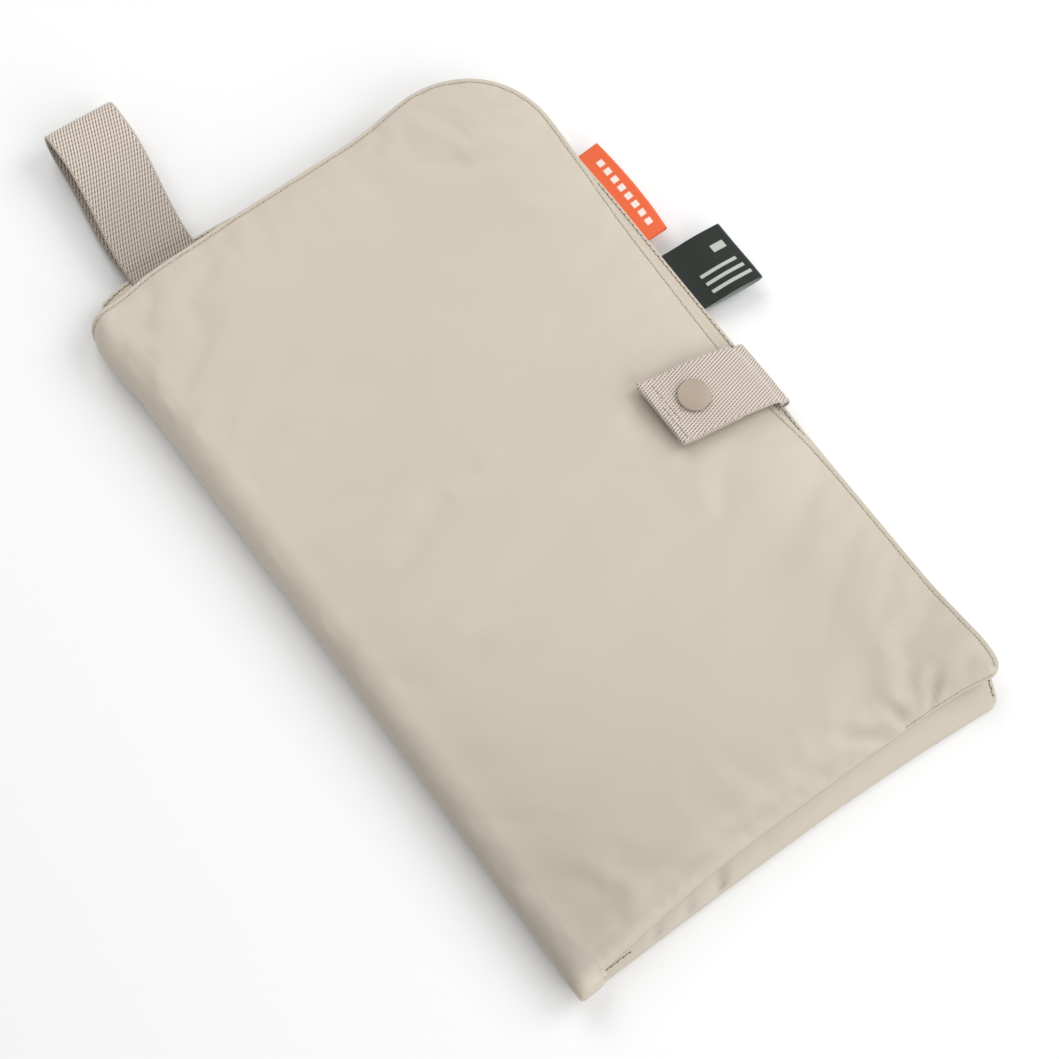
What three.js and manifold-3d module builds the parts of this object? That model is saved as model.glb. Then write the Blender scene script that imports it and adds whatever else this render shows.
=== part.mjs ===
// A padded travel changing mat, folded in four: crosswise along the crease at low Y, then
// lengthwise along the spine at low X. A snap strap holds it shut at the open edge (high X) and
// a webbing loop hangs from the far end (high Y).
// Millimetres. The mat lies flat, with the origin in the middle of its underside. +X runs from
// the spine to the open edge, +Y from the crease to the loop, +Z up.
// Pieces are drawn from the spine and crease corner; the inner group then centres them.
import * as THREE from "three";
import { mergeVertices } from "three/addons/utils/BufferGeometryUtils.js";
import Module from "manifold-3d";

const wasm = await Module();
wasm.setup();

// ---- driving dimensions ----
const WIDTH = 196.5; // upper packet, from the spine to the open edge
const LENGTH = 318.5; // upper packet, from the crease to the loop end
const CORNER_R = 42; // corner where the open edge meets the loop end
const COVER_T = 0.5; // outer fabric
const LINING_T = 0.4; // wipe-clean inner fabric
const PAD_T = 3.3; // wadding in each quarter
const GAP = 0.3; // clearance between layers
const PACKET = 2 * (COVER_T + PAD_T + LINING_T) + 5 * GAP; // one two-layer packet
const BETWEEN = 0.6; // clearance between the two packets
const HEIGHT = 2 * PACKET + BETWEEN; // the whole folded stack
const CREASE_R = PACKET / 2; // outer radius of the crosswise fold
const SPINE = 8; // how far the spine reaches in from the left edge
const SIDE = 0.4; // the covers start this far in from the left edge
const INNER = SPINE + GAP; // padding and linings of both packets start here
const PAD_Z = COVER_T + GAP; // padding, in from a packet's outer face
const LINING_Z = PAD_Z + PAD_T + GAP; // lining, in from a packet's outer face
const PAD_INSET = 6; // the padding stops this far short of the sewn edges
const LINING_INSET = 1; // and the linings this far
const LINING_SETBACK = 6; // the linings fold this far in from the crease
const LOWER_WIDTH = WIDTH + 3.5; // the lower packet stands out past the upper one
const LOWER_LENGTH = 318; // lower packet, at its open corner
const LOWER_SPINE_LENGTH = 322.5; // lower packet, beside the spine
const TRIM_Y = 340; // clear of the loop end, for sheets trimmed to an outline
const TRIM_X = WIDTH + 6; // clear of the open edge, likewise
const WEB_T = 1.3; // webbing thickness
const HALF_WEB = 30 / 2; // half the webbing width, strap and loop
const SNAP = { x: 168, y: 150.6 }; // axis of the snap
const POST_HOLE_R = 1.5;

// ---- materials ----
const finish = (settings) => new THREE.MeshStandardMaterial(settings);
const FABRIC = finish({ color: 0xd4cab9, roughness: 0.55 });
const WADDING = finish({ color: 0xf2f0ea, roughness: 0.95 });
const LINING = finish({ color: 0xd9d0c2, roughness: 0.45 });
const THREAD = finish({ color: 0xcabda8, roughness: 0.8 });
const WEBBING = finish({ color: 0xcdbeb0, roughness: 0.85 });
const SNAP_FINISH = finish({ color: 0xbaaa9b, roughness: 0.4 });
const ORANGE = finish({ color: 0xf77a45, roughness: 0.8 });
const GREEN = finish({ color: 0x26302a, roughness: 0.85 });

// ---- solids ----
const root = new THREE.Group();
const mat = new THREE.Group();
mat.position.set(-WIDTH / 2, -LENGTH / 2, 0);
root.add(mat);

const solid = (geometry) => {
  // Normals and uvs go, so that corners shared by several faces merge.
  geometry.deleteAttribute("normal");
  geometry.deleteAttribute("uv");
  const merged = mergeVertices(geometry, 1e-4);
  return new wasm.Manifold(
    new wasm.Mesh({
      numProp: 3,
      vertProperties: new Float32Array(merged.attributes.position.array),
      triVerts: new Uint32Array(merged.index.array),
    }),
  );
};

const put = (name, body, material) => {
  const { vertProperties, triVerts } = body.getMesh();
  const geometry = new THREE.BufferGeometry();
  geometry.setAttribute(
    "position",
    new THREE.BufferAttribute(new Float32Array(vertProperties), 3),
  );
  geometry.setIndex(new THREE.BufferAttribute(new Uint32Array(triVerts), 1));
  geometry.computeVertexNormals();
  const mesh = new THREE.Mesh(geometry, material);
  mesh.name = name;
  mat.add(mesh);
};

// Extrudes an outline by depth, then sends each vertex (across, up, along) to place's [x, y, z].
const extrude = (points, depth, place) => {
  const shape = new THREE.Shape(points.map(([x, y]) => new THREE.Vector2(x, y)));
  const geometry = new THREE.ExtrudeGeometry(shape, { depth, bevelEnabled: false, steps: 1 });
  const position = geometry.attributes.position;
  for (let i = 0; i < position.count; i++) {
    position.setXYZ(i, ...place(position.getX(i), position.getY(i), position.getZ(i)));
  }
  return solid(geometry);
};

// A plan outline raised between two heights.
const prism = (points, z0, z1) => extrude(points, z1 - z0, (x, y, z) => [x, y, z0 + z]);

// An [x, z] outline drawn out along Y from y0 to y1, shifted in Y by lean(x).
const alongY = (points, y0, y1, lean) =>
  extrude(
    points.map(([x, z]) => [x, -z]),
    y1 - y0,
    (x, minusZ, along) => [x, y0 + along + lean(x), -minusZ],
  );

const box = ([x0, x1], [y0, y1], [z0, z1]) => {
  const geometry = new THREE.BoxGeometry(x1 - x0, y1 - y0, z1 - z0);
  geometry.translate((x0 + x1) / 2, (y0 + y1) / 2, (z0 + z1) / 2);
  return solid(geometry);
};

// A profile of [radius, z above the folded mat], turned about the snap's axis.
const turned = (profile, segments = 40) => {
  const geometry = new THREE.LatheGeometry(
    profile.map(([radius, z]) => new THREE.Vector2(radius, HEIGHT + z)),
    segments,
  );
  geometry.rotateX(Math.PI / 2);
  geometry.translate(SNAP.x, SNAP.y, 0);
  return solid(geometry);
};
const cylinder = (radius, z0, z1, segments) =>
  turned([[0, z0], [radius, z0], [radius, z1], [0, z1]], segments);

// ---- lines and outlines ----
const spread = (from, to, steps) =>
  Array.from({ length: steps + 1 }, (_, i) => from + ((to - from) * i) / steps);

const QUARTER = Math.PI / 2;
const arc = (centreX, centreY, radius, from, to, steps) =>
  spread(from, to, steps).map((angle) => [
    centreX + radius * Math.cos(angle),
    centreY + radius * Math.sin(angle),
  ]);

// Y of the lower packet's crease, which droops towards the open edge.
const lowerCrease = (x) => {
  const t = THREE.MathUtils.clamp(x / 185, 0, 1);
  return -0.4 - 1.2 * t - 5.2 * t * t * t;
};

// Y of the upper packet's crease, which is drawn in along the middle of its width.
const upperCrease = (x) => {
  const span = 190;
  const wave = Math.sin((Math.PI * THREE.MathUtils.clamp(x, 0, span)) / span);
  return 6.2 * Math.pow(Math.max(0, wave), 0.8); // rounding can take the wave below 0
};

// Plan outlines, anticlockwise from the spine end of the crease. inset moves the open edges in,
// start is the X where the outline begins, and lift moves its crease side towards +Y.
const upperOutline = (inset, start, lift) => {
  const x = WIDTH - inset;
  const y = LENGTH - inset;
  const bigR = CORNER_R - inset;
  const smallR = Math.max(0.5, 4 - inset);
  return [
    [start, lift],
    ...arc(x - smallR, lift + smallR, smallR, -QUARTER, 0, 5),
    ...arc(x - bigR, y - bigR, bigR, 0, QUARTER, 14),
    [start, y],
  ];
};
const lowerOutline = (inset, start, lift) => {
  const x = LOWER_WIDTH - inset;
  const y = LOWER_LENGTH - inset;
  const spineY = LOWER_SPINE_LENGTH - inset;
  const radius = CORNER_R - inset;
  const cornerY = lowerCrease(LOWER_WIDTH) + lift;
  return [
    ...spread(start, x - 10, 14).map((v) => [v, lowerCrease(v) + lift]),
    [x - 6, cornerY + 3],
    [x - 2.5, cornerY + 12],
    [x, 30],
    ...arc(x - radius, y - radius, radius, 0, QUARTER, 14),
    [120, y],
    [62, spineY],
    [start, spineY],
  ];
};

// A sheet folded back on itself round a crease: a U in the YZ plane, open towards +Y, carried
// along X from x0. creaseAt(x) is the Y of its fold.
const foldedSheet = (zLow, zHigh, thickness, x0, bendSteps, creaseAt) => {
  const radius = (zHigh - zLow) / 2;
  const middle = (zLow + zHigh) / 2;
  const section = [
    [TRIM_Y, zLow],
    ...arc(radius, middle, radius, -QUARTER, -3 * QUARTER, bendSteps),
    [TRIM_Y, zHigh],
    [TRIM_Y, zHigh - thickness],
    ...arc(radius, middle, radius - thickness, QUARTER, 3 * QUARTER, bendSteps),
    [TRIM_Y, zLow + thickness],
  ]
    .map(([y, z]) => new THREE.Vector2(y, z))
    .reverse(); // anticlockwise seen from +X
  const endFaces = THREE.ShapeUtils.triangulateShape(section, []).map(([a, b, c]) => {
    const area = THREE.ShapeUtils.area([section[a], section[b], section[c]]);
    return area > 0 ? [a, b, c] : [a, c, b];
  });

  const stations = 14;
  const count = section.length;
  const positions = [];
  for (const x of spread(x0, TRIM_X, stations)) {
    for (const { x: y, y: z } of section) {
      positions.push(x, y === TRIM_Y ? y : y + creaseAt(x), z);
    }
  }
  const indices = [];
  for (let s = 0; s < stations; s++) {
    for (let i = 0; i < count; i++) {
      const a = s * count + i;
      const b = s * count + ((i + 1) % count);
      indices.push(a, b, b + count, a, b + count, a + count);
    }
  }
  const last = stations * count;
  for (const [a, b, c] of endFaces) {
    indices.push(a, c, b);
    indices.push(last + a, last + b, last + c);
  }
  const geometry = new THREE.BufferGeometry();
  geometry.setAttribute("position", new THREE.Float32BufferAttribute(positions, 3));
  geometry.setIndex(indices);
  return solid(geometry);
};

// ---- packets: each is two quarters, folded together round the crosswise crease ----
// coverLift and padLift are the lifts of the cover's and padding's outlines.
// spineCut is the range of heights where the cover is cut away beside the spine, which leaves
// only the skin on the outside of the folded mat.
const LOWER = {
  name: "lower",
  base: 0,
  outline: lowerOutline,
  crease: lowerCrease,
  coverLift: -1,
  padLift: CREASE_R + 0.4,
  spineCut: [COVER_T + 0.01, PACKET + 1],
};
const UPPER_BASE = HEIGHT - PACKET;
const UPPER = {
  name: "upper",
  base: UPPER_BASE,
  outline: upperOutline,
  crease: upperCrease,
  coverLift: 0,
  padLift: CREASE_R + 6.7,
  spineCut: [UPPER_BASE - 1, HEIGHT - COVER_T - 0.01],
};

const trimTo = (outline) => prism(outline, -2, HEIGHT + 2);

const cover = ({ base, outline, crease, coverLift, spineCut }) =>
  foldedSheet(base, base + PACKET, COVER_T, SIDE, 10, crease)
    .intersect(trimTo(outline(0, SIDE, coverLift)))
    .subtract(box([-2, INNER], [-20, TRIM_Y], spineCut));

const padding = ({ outline, padLift }, z) =>
  prism(outline(PAD_INSET, INNER, padLift), z, z + PAD_T);

const lining = ({ base, outline, crease }) => {
  const foldAt = (x) => crease(x) + LINING_SETBACK;
  return foldedSheet(base + LINING_Z, base + PACKET - LINING_Z, LINING_T, INNER, 6, foldAt)
    .intersect(trimTo(outline(LINING_INSET, INNER, 0)));
};

const uncut = (body) => body;
const putPacket = (packet, cutCover = uncut, cutTopPadding = uncut) => {
  const { name, base } = packet;
  const topPadding = padding(packet, base + PACKET - PAD_Z - PAD_T);
  put(`${name}_cover`, cutCover(cover(packet)), FABRIC);
  put(`${name}_bottom_padding`, padding(packet, base + PAD_Z), WADDING);
  put(`${name}_top_padding`, cutTopPadding(topPadding), WADDING);
  put(`${name}_lining`, lining(packet), LINING);
};

putPacket(LOWER);
// The upper packet is holed for the snap stud and its backing cap.
putPacket(
  UPPER,
  (body) => body.subtract(cylinder(POST_HOLE_R, -2, 2, 24)),
  (body) => body.subtract(cylinder(6, -2.6, 2, 40)),
);

// ---- spine: where the mat turns over lengthwise, layers from the outside in ----
const spineLayer = (x0, x1, endGap, y0, y1) =>
  box([x0, x1], [y0, y1], [PAD_Z + endGap, HEIGHT - PAD_Z - endGap]);
const innerSpineLayer = (x0, x1) => spineLayer(x0, x1, GAP, 4, LENGTH - 3);
const spineLiningX = 3.8;
const spineLiningEnd = spineLiningX + LINING_T;
put("spine_cover", spineLayer(0, COVER_T, 0, 0.6, LENGTH - 1), FABRIC);
put("spine_outer_padding", innerSpineLayer(COVER_T + GAP, spineLiningX - GAP), WADDING);
put("spine_lining", innerSpineLayer(spineLiningX, spineLiningEnd), LINING);
put("spine_inner_padding", innerSpineLayer(spineLiningEnd + GAP, SPINE - GAP), WADDING);

// ---- topstitching: a line of thread along the open edges and crease of each packet ----
const THREAD_W = 0.45;
const THREAD_T = 0.3;
const THREAD_LIFT = 0.1; // clearance over the surface it lies on
const STITCH_INSET = 1.8; // in from the edge

const putStitching = (name, line, surfaceZ) => {
  const left = [];
  const right = [];
  line.forEach(([x, y], i) => {
    const before = line[Math.max(0, i - 1)];
    const after = line[Math.min(line.length - 1, i + 1)];
    const dx = after[0] - before[0];
    const dy = after[1] - before[1];
    const scale = THREAD_W / 2 / Math.hypot(dx, dy);
    left.push([x - dy * scale, y + dx * scale]);
    right.push([x + dy * scale, y - dx * scale]);
  });
  const z = surfaceZ + THREAD_LIFT;
  put(name, prism([...left, ...right.reverse()], z, z + THREAD_T), THREAD);
};

// The edge lines skip the outline's crease side and start near the foot of the open edge.
const upperEdge = upperOutline(STITCH_INSET, 1.2, 4.6).slice(5);
const lowerEdge = lowerOutline(STITCH_INSET, INNER + 1, 0).slice(17);
const upperCreaseLine = spread(2, 190.8, 16).map((x) => [x, upperCrease(x) + 5.6]);
const lowerCreaseLine = spread(INNER + 1, 188, 8).map((x) => [x, lowerCrease(x) + 5.4]);
putStitching("upper_edge_stitching", upperEdge, HEIGHT);
putStitching("lower_edge_stitching", lowerEdge, PACKET);
putStitching("upper_crease_stitching", upperCreaseLine, HEIGHT);
putStitching("lower_crease_stitching", lowerCreaseLine, PACKET);

// ---- closure strap ----
const STRAP_Y = 145.4; // middle of the strap at the open edge
const STRAP_SLANT = 0.156; // shift in Y per mm towards the spine, as it lies askew
const STRAP_END_X = 152.4; // free end
const STRAP_UNDER_X = 182; // where the doubled-back layer stops
const STRAP_OUTER_X = 202.25; // outer face of the upright part
const STRAP_INNER_X = STRAP_OUTER_X - WEB_T;
const STRAP_ROOT_Z = 7.7; // bottom of the upright part
const STRAP_JOIN_Z = HEIGHT + 1.05; // where the upright part meets the bend
const JOIN_GAP = 0.15; // clearance on each side of that join
const STRAP_MID_Z = HEIGHT + 5.75; // middle of the top layer
const STRAP_TOP = STRAP_MID_Z + WEB_T / 2;
const DOUBLING = 1.5; // middle to middle of the doubled end
const TURN_R = (DOUBLING + WEB_T) / 2; // outer radius of the turn at the free end
const TURN_Z = STRAP_MID_Z - DOUBLING / 2;
const STRAP_BOTTOM = TURN_Z - TURN_R; // underside of the doubled end

const strapWidth = [STRAP_Y - HALF_WEB, STRAP_Y + HALF_WEB];
const strapLean = (x) => (STRAP_OUTER_X - x) * STRAP_SLANT;

put(
  "strap_root_webbing",
  box([STRAP_INNER_X, STRAP_OUTER_X], strapWidth, [STRAP_ROOT_Z, STRAP_JOIN_Z - JOIN_GAP]),
  WEBBING,
);

// Round the bend, along the top, round the free end and back underneath.
const strapEnd = () => {
  const bendZ = STRAP_JOIN_Z + JOIN_GAP;
  const bendR = STRAP_TOP - bendZ;
  const bendX = STRAP_OUTER_X - bendR;
  const turnX = STRAP_END_X + TURN_R;
  const profile = [
    ...arc(bendX, bendZ, bendR, 0, QUARTER, 7),
    ...arc(turnX, TURN_Z, TURN_R, QUARTER, 3 * QUARTER, 8),
    [STRAP_UNDER_X, STRAP_BOTTOM],
    [STRAP_UNDER_X, STRAP_BOTTOM + WEB_T],
    ...arc(turnX, TURN_Z, TURN_R - WEB_T, 3 * QUARTER, QUARTER, 6),
    ...arc(bendX, bendZ, bendR - WEB_T, QUARTER, 0, 7),
  ];
  const snapHole = cylinder(POST_HOLE_R, 1, STRAP_TOP + 2 - HEIGHT, 24);
  return alongY(profile, ...strapWidth, strapLean).subtract(snapHole);
};
put("strap_end_webbing", strapEnd(), WEBBING);

// One line across the strap, near its free end.
const crossX = 157.5;
const crossLine = [
  [crossX, STRAP_Y + strapLean(crossX) - 12],
  [crossX - 0.6, STRAP_Y + strapLean(crossX) + 12],
];
putStitching("strap_end_stitching", crossLine, STRAP_TOP);

// ---- snap: cap and socket on the strap, stud and backing on the mat ----
const SNAP_R = 6.5; // cap
const capZ = STRAP_TOP - HEIGHT;
const capProfile = [
  [0, 2.2],
  [1.1, 2.2],
  [1.1, capZ + 0.2],
  [SNAP_R - 0.5, capZ + 0.2],
  [SNAP_R, capZ + 0.6],
  [SNAP_R - 0.1, capZ + 1.0],
  [SNAP_R - 0.9, capZ + 1.5],
  [SNAP_R - 3, capZ + 1.75],
  [0, capZ + 1.85],
];
const socketTop = STRAP_BOTTOM - 0.2 - HEIGHT;
const socketProfile = [
  [2.6, 1.1], [4.9, 1.1], [5.2, 1.5], [5.2, socketTop],
  [1.4, socketTop], [1.4, 2.6], [2.6, 2.3], [2.6, 1.1],
];
const studProfile = [
  [0, 0.1], [4.8, 0.1], [4.8, 0.6], [2.0, 0.8],
  [1.9, 1.2], [2.2, 1.6], [1.9, 1.95], [0, 1.95],
];
const backingProfile = [
  [0, -2.2], [5.2, -2.0], [5.5, -1.4], [5.2, -0.9],
  [1.1, -0.8], [1.1, -0.2], [0, -0.2],
];
put("snap_cap", turned(capProfile, 48), SNAP_FINISH);
put("snap_socket", turned(socketProfile), SNAP_FINISH);
put("snap_stud", turned(studProfile), SNAP_FINISH);
put("stud_backing_cap", turned(backingProfile), SNAP_FINISH);

// ---- folded tapes: the hanging loop and the side labels ----
// One face of a tape sewn in by both ends, as [distance out from the seam, height off its middle]:
// out along the underside, round the tip and back along the top. rootHalf and bulge are half
// heights at the seam and the tip; inward is the depth of this face below the outer one.
const tapeFace = ({ length, rootHalf, bulge, power, steps, tipSteps }, inward) => {
  const run = length - bulge;
  const side = (sign) =>
    spread(0, 1, steps).map((u) => {
      const swell = Math.sin(QUARTER * Math.pow(u, power));
      return [u * run, sign * (rootHalf + (bulge - rootHalf) * swell - inward)];
    });
  const tip = arc(run, 0, bulge - inward, -QUARTER, QUARTER, tipSteps).slice(1, -1);
  return [...side(-1), ...tip, ...side(1).reverse()];
};

// Hanging loop: a flat teardrop standing open, cut out of a solid one.
const LOOP = { x: 40, y: 324.5, z: 7.5 }; // middle of the loop at its seam
const LOOP_SLANT = 0.093; // shift in X per mm out from the seam
const LOOP_RISE = 0.045; // shift in Z per mm out from the seam
const LOOP_TAPE = { length: 66, rootHalf: 1.5, bulge: 7, power: 0.75, steps: 12, tipSteps: 10 };
const teardrop = (inward, overrun) =>
  extrude(
    tapeFace(LOOP_TAPE, inward).map(([out, up]) => [LOOP.y + out, LOOP.z + out * LOOP_RISE + up]),
    2 * (HALF_WEB + overrun),
    (y, z, along) => [LOOP.x - HALF_WEB - overrun + along + (y - LOOP.y) * LOOP_SLANT, y, z],
  );
put("hanging_loop_webbing", teardrop(0, 0).subtract(teardrop(WEB_T, 5)), WEBBING);

// Side labels: short ribbons folded in half and sewn into the open edge.
const LABEL_X = 201.2;
const LABEL_Z = 8.2;
const LABEL_T = 0.35;
const label = ({ length, bulge, y0, y1, slant }) => {
  const tape = { length, rootHalf: 0.5, bulge, power: 1, steps: 8, tipSteps: 6 };
  const outline = [...tapeFace(tape, 0), ...tapeFace(tape, LABEL_T).reverse()];
  return alongY(
    outline.map(([out, up]) => [LABEL_X + out, LABEL_Z + up]),
    y0,
    y1,
    (x) => (x - LABEL_X) * slant,
  );
};
put("orange_label", label({ length: 9.2, bulge: 0.8, y0: 218, y1: 264, slant: 0 }), ORANGE);
put(
  "green_label",
  label({ length: 26.3, bulge: 1.5, y0: 181.5, y1: 209.5, slant: -0.11 }),
  GREEN,
);

export default root;
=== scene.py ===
# A folded changing pad: two padded packets lying on each other, joined by a rounded spine, with
# a webbing strap and its snap, a hanging loop and two side labels. Blender 4.5, metres, +Z up.
# Inside the script lengths are millimetres from the pad's own corner: x runs across from the
# outer face of the spine, y along from the crosswise crease to the loop end, z up from the floor.
import math

import bpy
import numpy as np
from mathutils import Matrix, Vector


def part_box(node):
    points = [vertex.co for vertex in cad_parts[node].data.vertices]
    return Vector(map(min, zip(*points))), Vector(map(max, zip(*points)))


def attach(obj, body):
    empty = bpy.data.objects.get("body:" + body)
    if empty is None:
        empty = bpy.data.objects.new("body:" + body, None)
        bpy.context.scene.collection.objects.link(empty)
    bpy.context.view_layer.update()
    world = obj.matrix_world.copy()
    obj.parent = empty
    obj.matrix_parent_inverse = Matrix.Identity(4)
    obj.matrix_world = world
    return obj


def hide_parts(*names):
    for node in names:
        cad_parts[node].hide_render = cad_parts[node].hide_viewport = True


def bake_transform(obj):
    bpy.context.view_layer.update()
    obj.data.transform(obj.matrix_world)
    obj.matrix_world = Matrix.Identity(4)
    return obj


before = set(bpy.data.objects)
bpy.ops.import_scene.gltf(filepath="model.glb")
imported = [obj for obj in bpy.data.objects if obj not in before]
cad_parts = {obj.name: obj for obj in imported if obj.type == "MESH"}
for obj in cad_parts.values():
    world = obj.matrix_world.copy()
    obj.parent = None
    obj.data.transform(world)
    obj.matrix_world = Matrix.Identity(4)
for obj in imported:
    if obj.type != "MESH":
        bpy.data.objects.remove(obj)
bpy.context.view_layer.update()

# ---------------------------------------------------------------- sizes, read from the CAD
MM = 0.001
UPPER, LOWER = 1, -1  # the two packets
OUTER, INNER = 0, 1  # panels of a packet: the outside one, and the one facing the other packet

spine_lo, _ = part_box("spine_cover")
upper_lo, upper_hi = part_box("upper_cover")
_, lower_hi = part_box("lower_cover")
ORIGIN_X, ORIGIN_Y = spine_lo.x, upper_lo.y


def box_mm(name):
    """Low and high corner of a CAD node, in the pad's millimetres."""
    return [
        np.array([(v.x - ORIGIN_X) / MM, (v.y - ORIGIN_Y) / MM, v.z / MM]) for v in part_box(name)
    ]


PACKET_W = {UPPER: (upper_hi.x - ORIGIN_X) / MM, LOWER: (lower_hi.x - ORIGIN_X) / MM}
LENGTH = (upper_hi.y - ORIGIN_Y) / MM
PACKET_H = lower_hi.z / MM
SPINE_R = upper_hi.z / MM / 2  # half the height of the stack
SPINE_HALF_W = 12.0
HEM_HALF = 0.62  # half thickness of the sewn hem
CORNER_R = 42.0  # corners at the loop end
CREASE_NOSE = 1.3  # depth of the rounded nose along the crosswise crease
STITCH_IN = 1.9  # edge seam, in from the open edge
STITCH_PITCH = 2.8

snap_lo, snap_hi = box_mm("snap_cap")
SNAP_X, SNAP_Y = (snap_lo[0] + snap_hi[0]) / 2, (snap_lo[1] + snap_hi[1]) / 2
SNAP_R = (snap_hi[0] - snap_lo[0]) / 2


# ---------------------------------------------------------------- curves and noise
def unit(t):
    return np.clip(t, 0, 1)


def rise(t):
    """Smooth step from 0 to 1 as t goes from 0 to 1."""
    t = unit(t)
    return t * t * (3 - 2 * t)


def fall(t):
    return 1 - rise(t)


def bell(t):
    return np.exp(-(t**2))


def round_over(t, power=2):
    """Quarter round from 0 at t = 0 to 1 at t = 1."""
    return np.sqrt(unit(1 - (1 - unit(t)) ** power))


def blend_cells(table, row, col, down, right):
    """Blend the four table cells at (row, col), wrapping round its edges."""
    rows, cols = table.shape
    row2, col2 = (row + 1) % rows, (col + 1) % cols
    row, col = row % rows, col % cols
    top = table[row, col] * (1 - right) + table[row, col2] * right
    low = table[row2, col] * (1 - right) + table[row2, col2] * right
    return top * (1 - down) + low * down


NOISE = np.random.RandomState(7).rand(256, 256) * 2 - 1


def value_noise(x, y):
    col, row = np.floor(x).astype(int), np.floor(y).astype(int)
    right, down = (t * t * t * (t * (t * 6 - 15) + 10) for t in (x - col, y - row))
    return blend_cells(NOISE, row, col, down, right)


def smooth_table(v, table, reach, taps=7):
    """A (stations, values) table, averaged over a window of +-reach."""
    return sum(np.interp(v + d, *table) for d in np.linspace(-reach, reach, taps)) / taps


# ---------------------------------------------------------------- plan of the folded sheet
# Sheet coordinates: s across, 0 at the middle of the spine; y along; w depth in from the packet's
# outer face. The spine's section is a half ellipse, measured here by its arc length.
_angles = np.linspace(0, math.pi / 2, 600)
_steps = np.hypot(np.diff(-SPINE_HALF_W * np.cos(_angles)), np.diff(SPINE_R * np.sin(_angles)))
_arc = np.concatenate([[0], np.cumsum(_steps)])
FLAT_S = _arc[-1]  # where the packet starts to lie flat
SPINE_S = FLAT_S - SPINE_HALF_W  # x = s - SPINE_S on the flat
SHEET_W = {side: width + SPINE_S for side, width in PACKET_W.items()}

# stations along x, and how far the upper packet's crease is drawn in there
CREASE_BOW = (
    [-20, 0, 4, 12.7, 29, 41, 55, 67, 86, 102, 109, 141, 168, 181.5, 190, 196.5, 230],
    [0.6, 0.6, 0.4, 2.9, 4.2, 4.9, 5.9, 6.5, 6.7, 6.4, 6.1, 5.3, 4.2, 2.9, 1.0, 0.2, 0],
)
# stations along y, and how far the upper packet's open edge is drawn in
DRAWN_IN = (
    [0, 96, 108, 119, 129, 139, 150, 172, 200, 241, 270, 300, 320],
    [0, 0, 0.4, 1.4, 2.8, 3.7, 3.9, 3.6, 2.6, 1.1, 0.6, 0.1, 0],
)
# stations along y, and how far the lower packet's open edge stands out
STANDS_OUT = (
    [-10, 95, 120, 140, 170, 200, 241, 270, 300, 330],
    [0, 0, 0, 0.4, 0.8, 1.0, 1.5, 0.8, 0, 0],
)
# stations along s, and where each packet's loop end runs against the nominal length
_END_S = [-6, 0, 4, 8, 12, 16, 20, 26, 34, 45, 60, 75, 90, 105, 125, 260]
LOOP_END = {
    UPPER: (
        _END_S,
        [-9.0, -9.0, -6.7, -5.3, -4.3, -3.9, -3.7, -2.7, -1.2, -0.6, -0.4, 0, 0, 0, 0, 0],
    ),
    LOWER: (
        _END_S,
        [-9.0, -9.0, -5.6, -2.0, 0.4, 2.2, 3.6, 5.0, 5.7, 5.9, 5.9, 5.0, 3.2, 1.2, -0.5, -0.5],
    ),
}


def round_corner(x, y, centre_x, centre_y, y_sign, radius):
    """Take the square corner outside the centre to a quarter disc.

    Also gives the distance in from the rounded edge, infinite outside the corner.
    """
    across, along = (x - centre_x) / radius, (y - centre_y) * y_sign / radius
    inside = (across > 0) & (along > 0)
    across, along = np.clip(across, 1e-9, 1), np.clip(along, 1e-9, 1)
    out = np.maximum(across, along)
    quarter = math.pi / 4
    angle = np.where(
        across >= along, quarter * along / across, math.pi / 2 - quarter * across / along
    )
    round_x = centre_x + radius * out * np.cos(angle)
    round_y = centre_y + y_sign * radius * out * np.sin(angle)
    distance = np.where(inside, radius * (1 - out), np.inf)
    return np.where(inside, round_x, x), np.where(inside, round_y, y), distance


def droop(x):
    """How far the lower packet's crease runs out past y = 0, as a negative y."""
    t = np.clip(x / 185, 0, 1.1)
    return -0.4 - 1.2 * t - 5.2 * t**3


def plan(side, s, y):
    """Sheet coordinates to plan x and y, and distances from the open edge and the crease."""
    width = PACKET_W[side]
    x = s - SPINE_S
    edge_x, edge_y = width - CORNER_R, LENGTH - CORNER_R
    plan_x, plan_y, corner_in = round_corner(x, y, edge_x, edge_y, 1, CORNER_R)
    to_edge = np.where(np.isfinite(corner_in), corner_in, np.minimum(width - x, LENGTH - y))
    small_r = 4.5 if side == UPPER else 3.0  # corner beside the crease
    plan_x, plan_y, _ = round_corner(plan_x, plan_y, width - small_r, small_r, -1, small_r)
    end = smooth_table(s, LOOP_END[side], 3)
    if side == UPPER:
        end = end + 2.0 * rise((x - 128) / 30)
        crease = smooth_table(plan_x, CREASE_BOW, 6, taps=13)
        open_edge = 0.5 * fall(y / 55) + 1.2 * rise((y - 215) / 60) - smooth_table(y, DRAWN_IN, 6)
    else:
        crease = droop(plan_x)
        open_edge = -8.5 * unit(1 - y / 34) ** 1.7 + smooth_table(y, STANDS_OUT, 8)
    off_spine = rise(s / 8)  # at the spine the two packets are one piece of cloth
    crease = crease * off_spine - 1.6 * (1 - off_spine)
    plan_y = plan_y + end * rise((y - (LENGTH - 90)) / 90) + crease * fall(y / 75)
    plan_x = plan_x + open_edge * rise((x - 110) / 88)
    return plan_x, plan_y, to_edge, np.maximum(y, 0)


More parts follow.
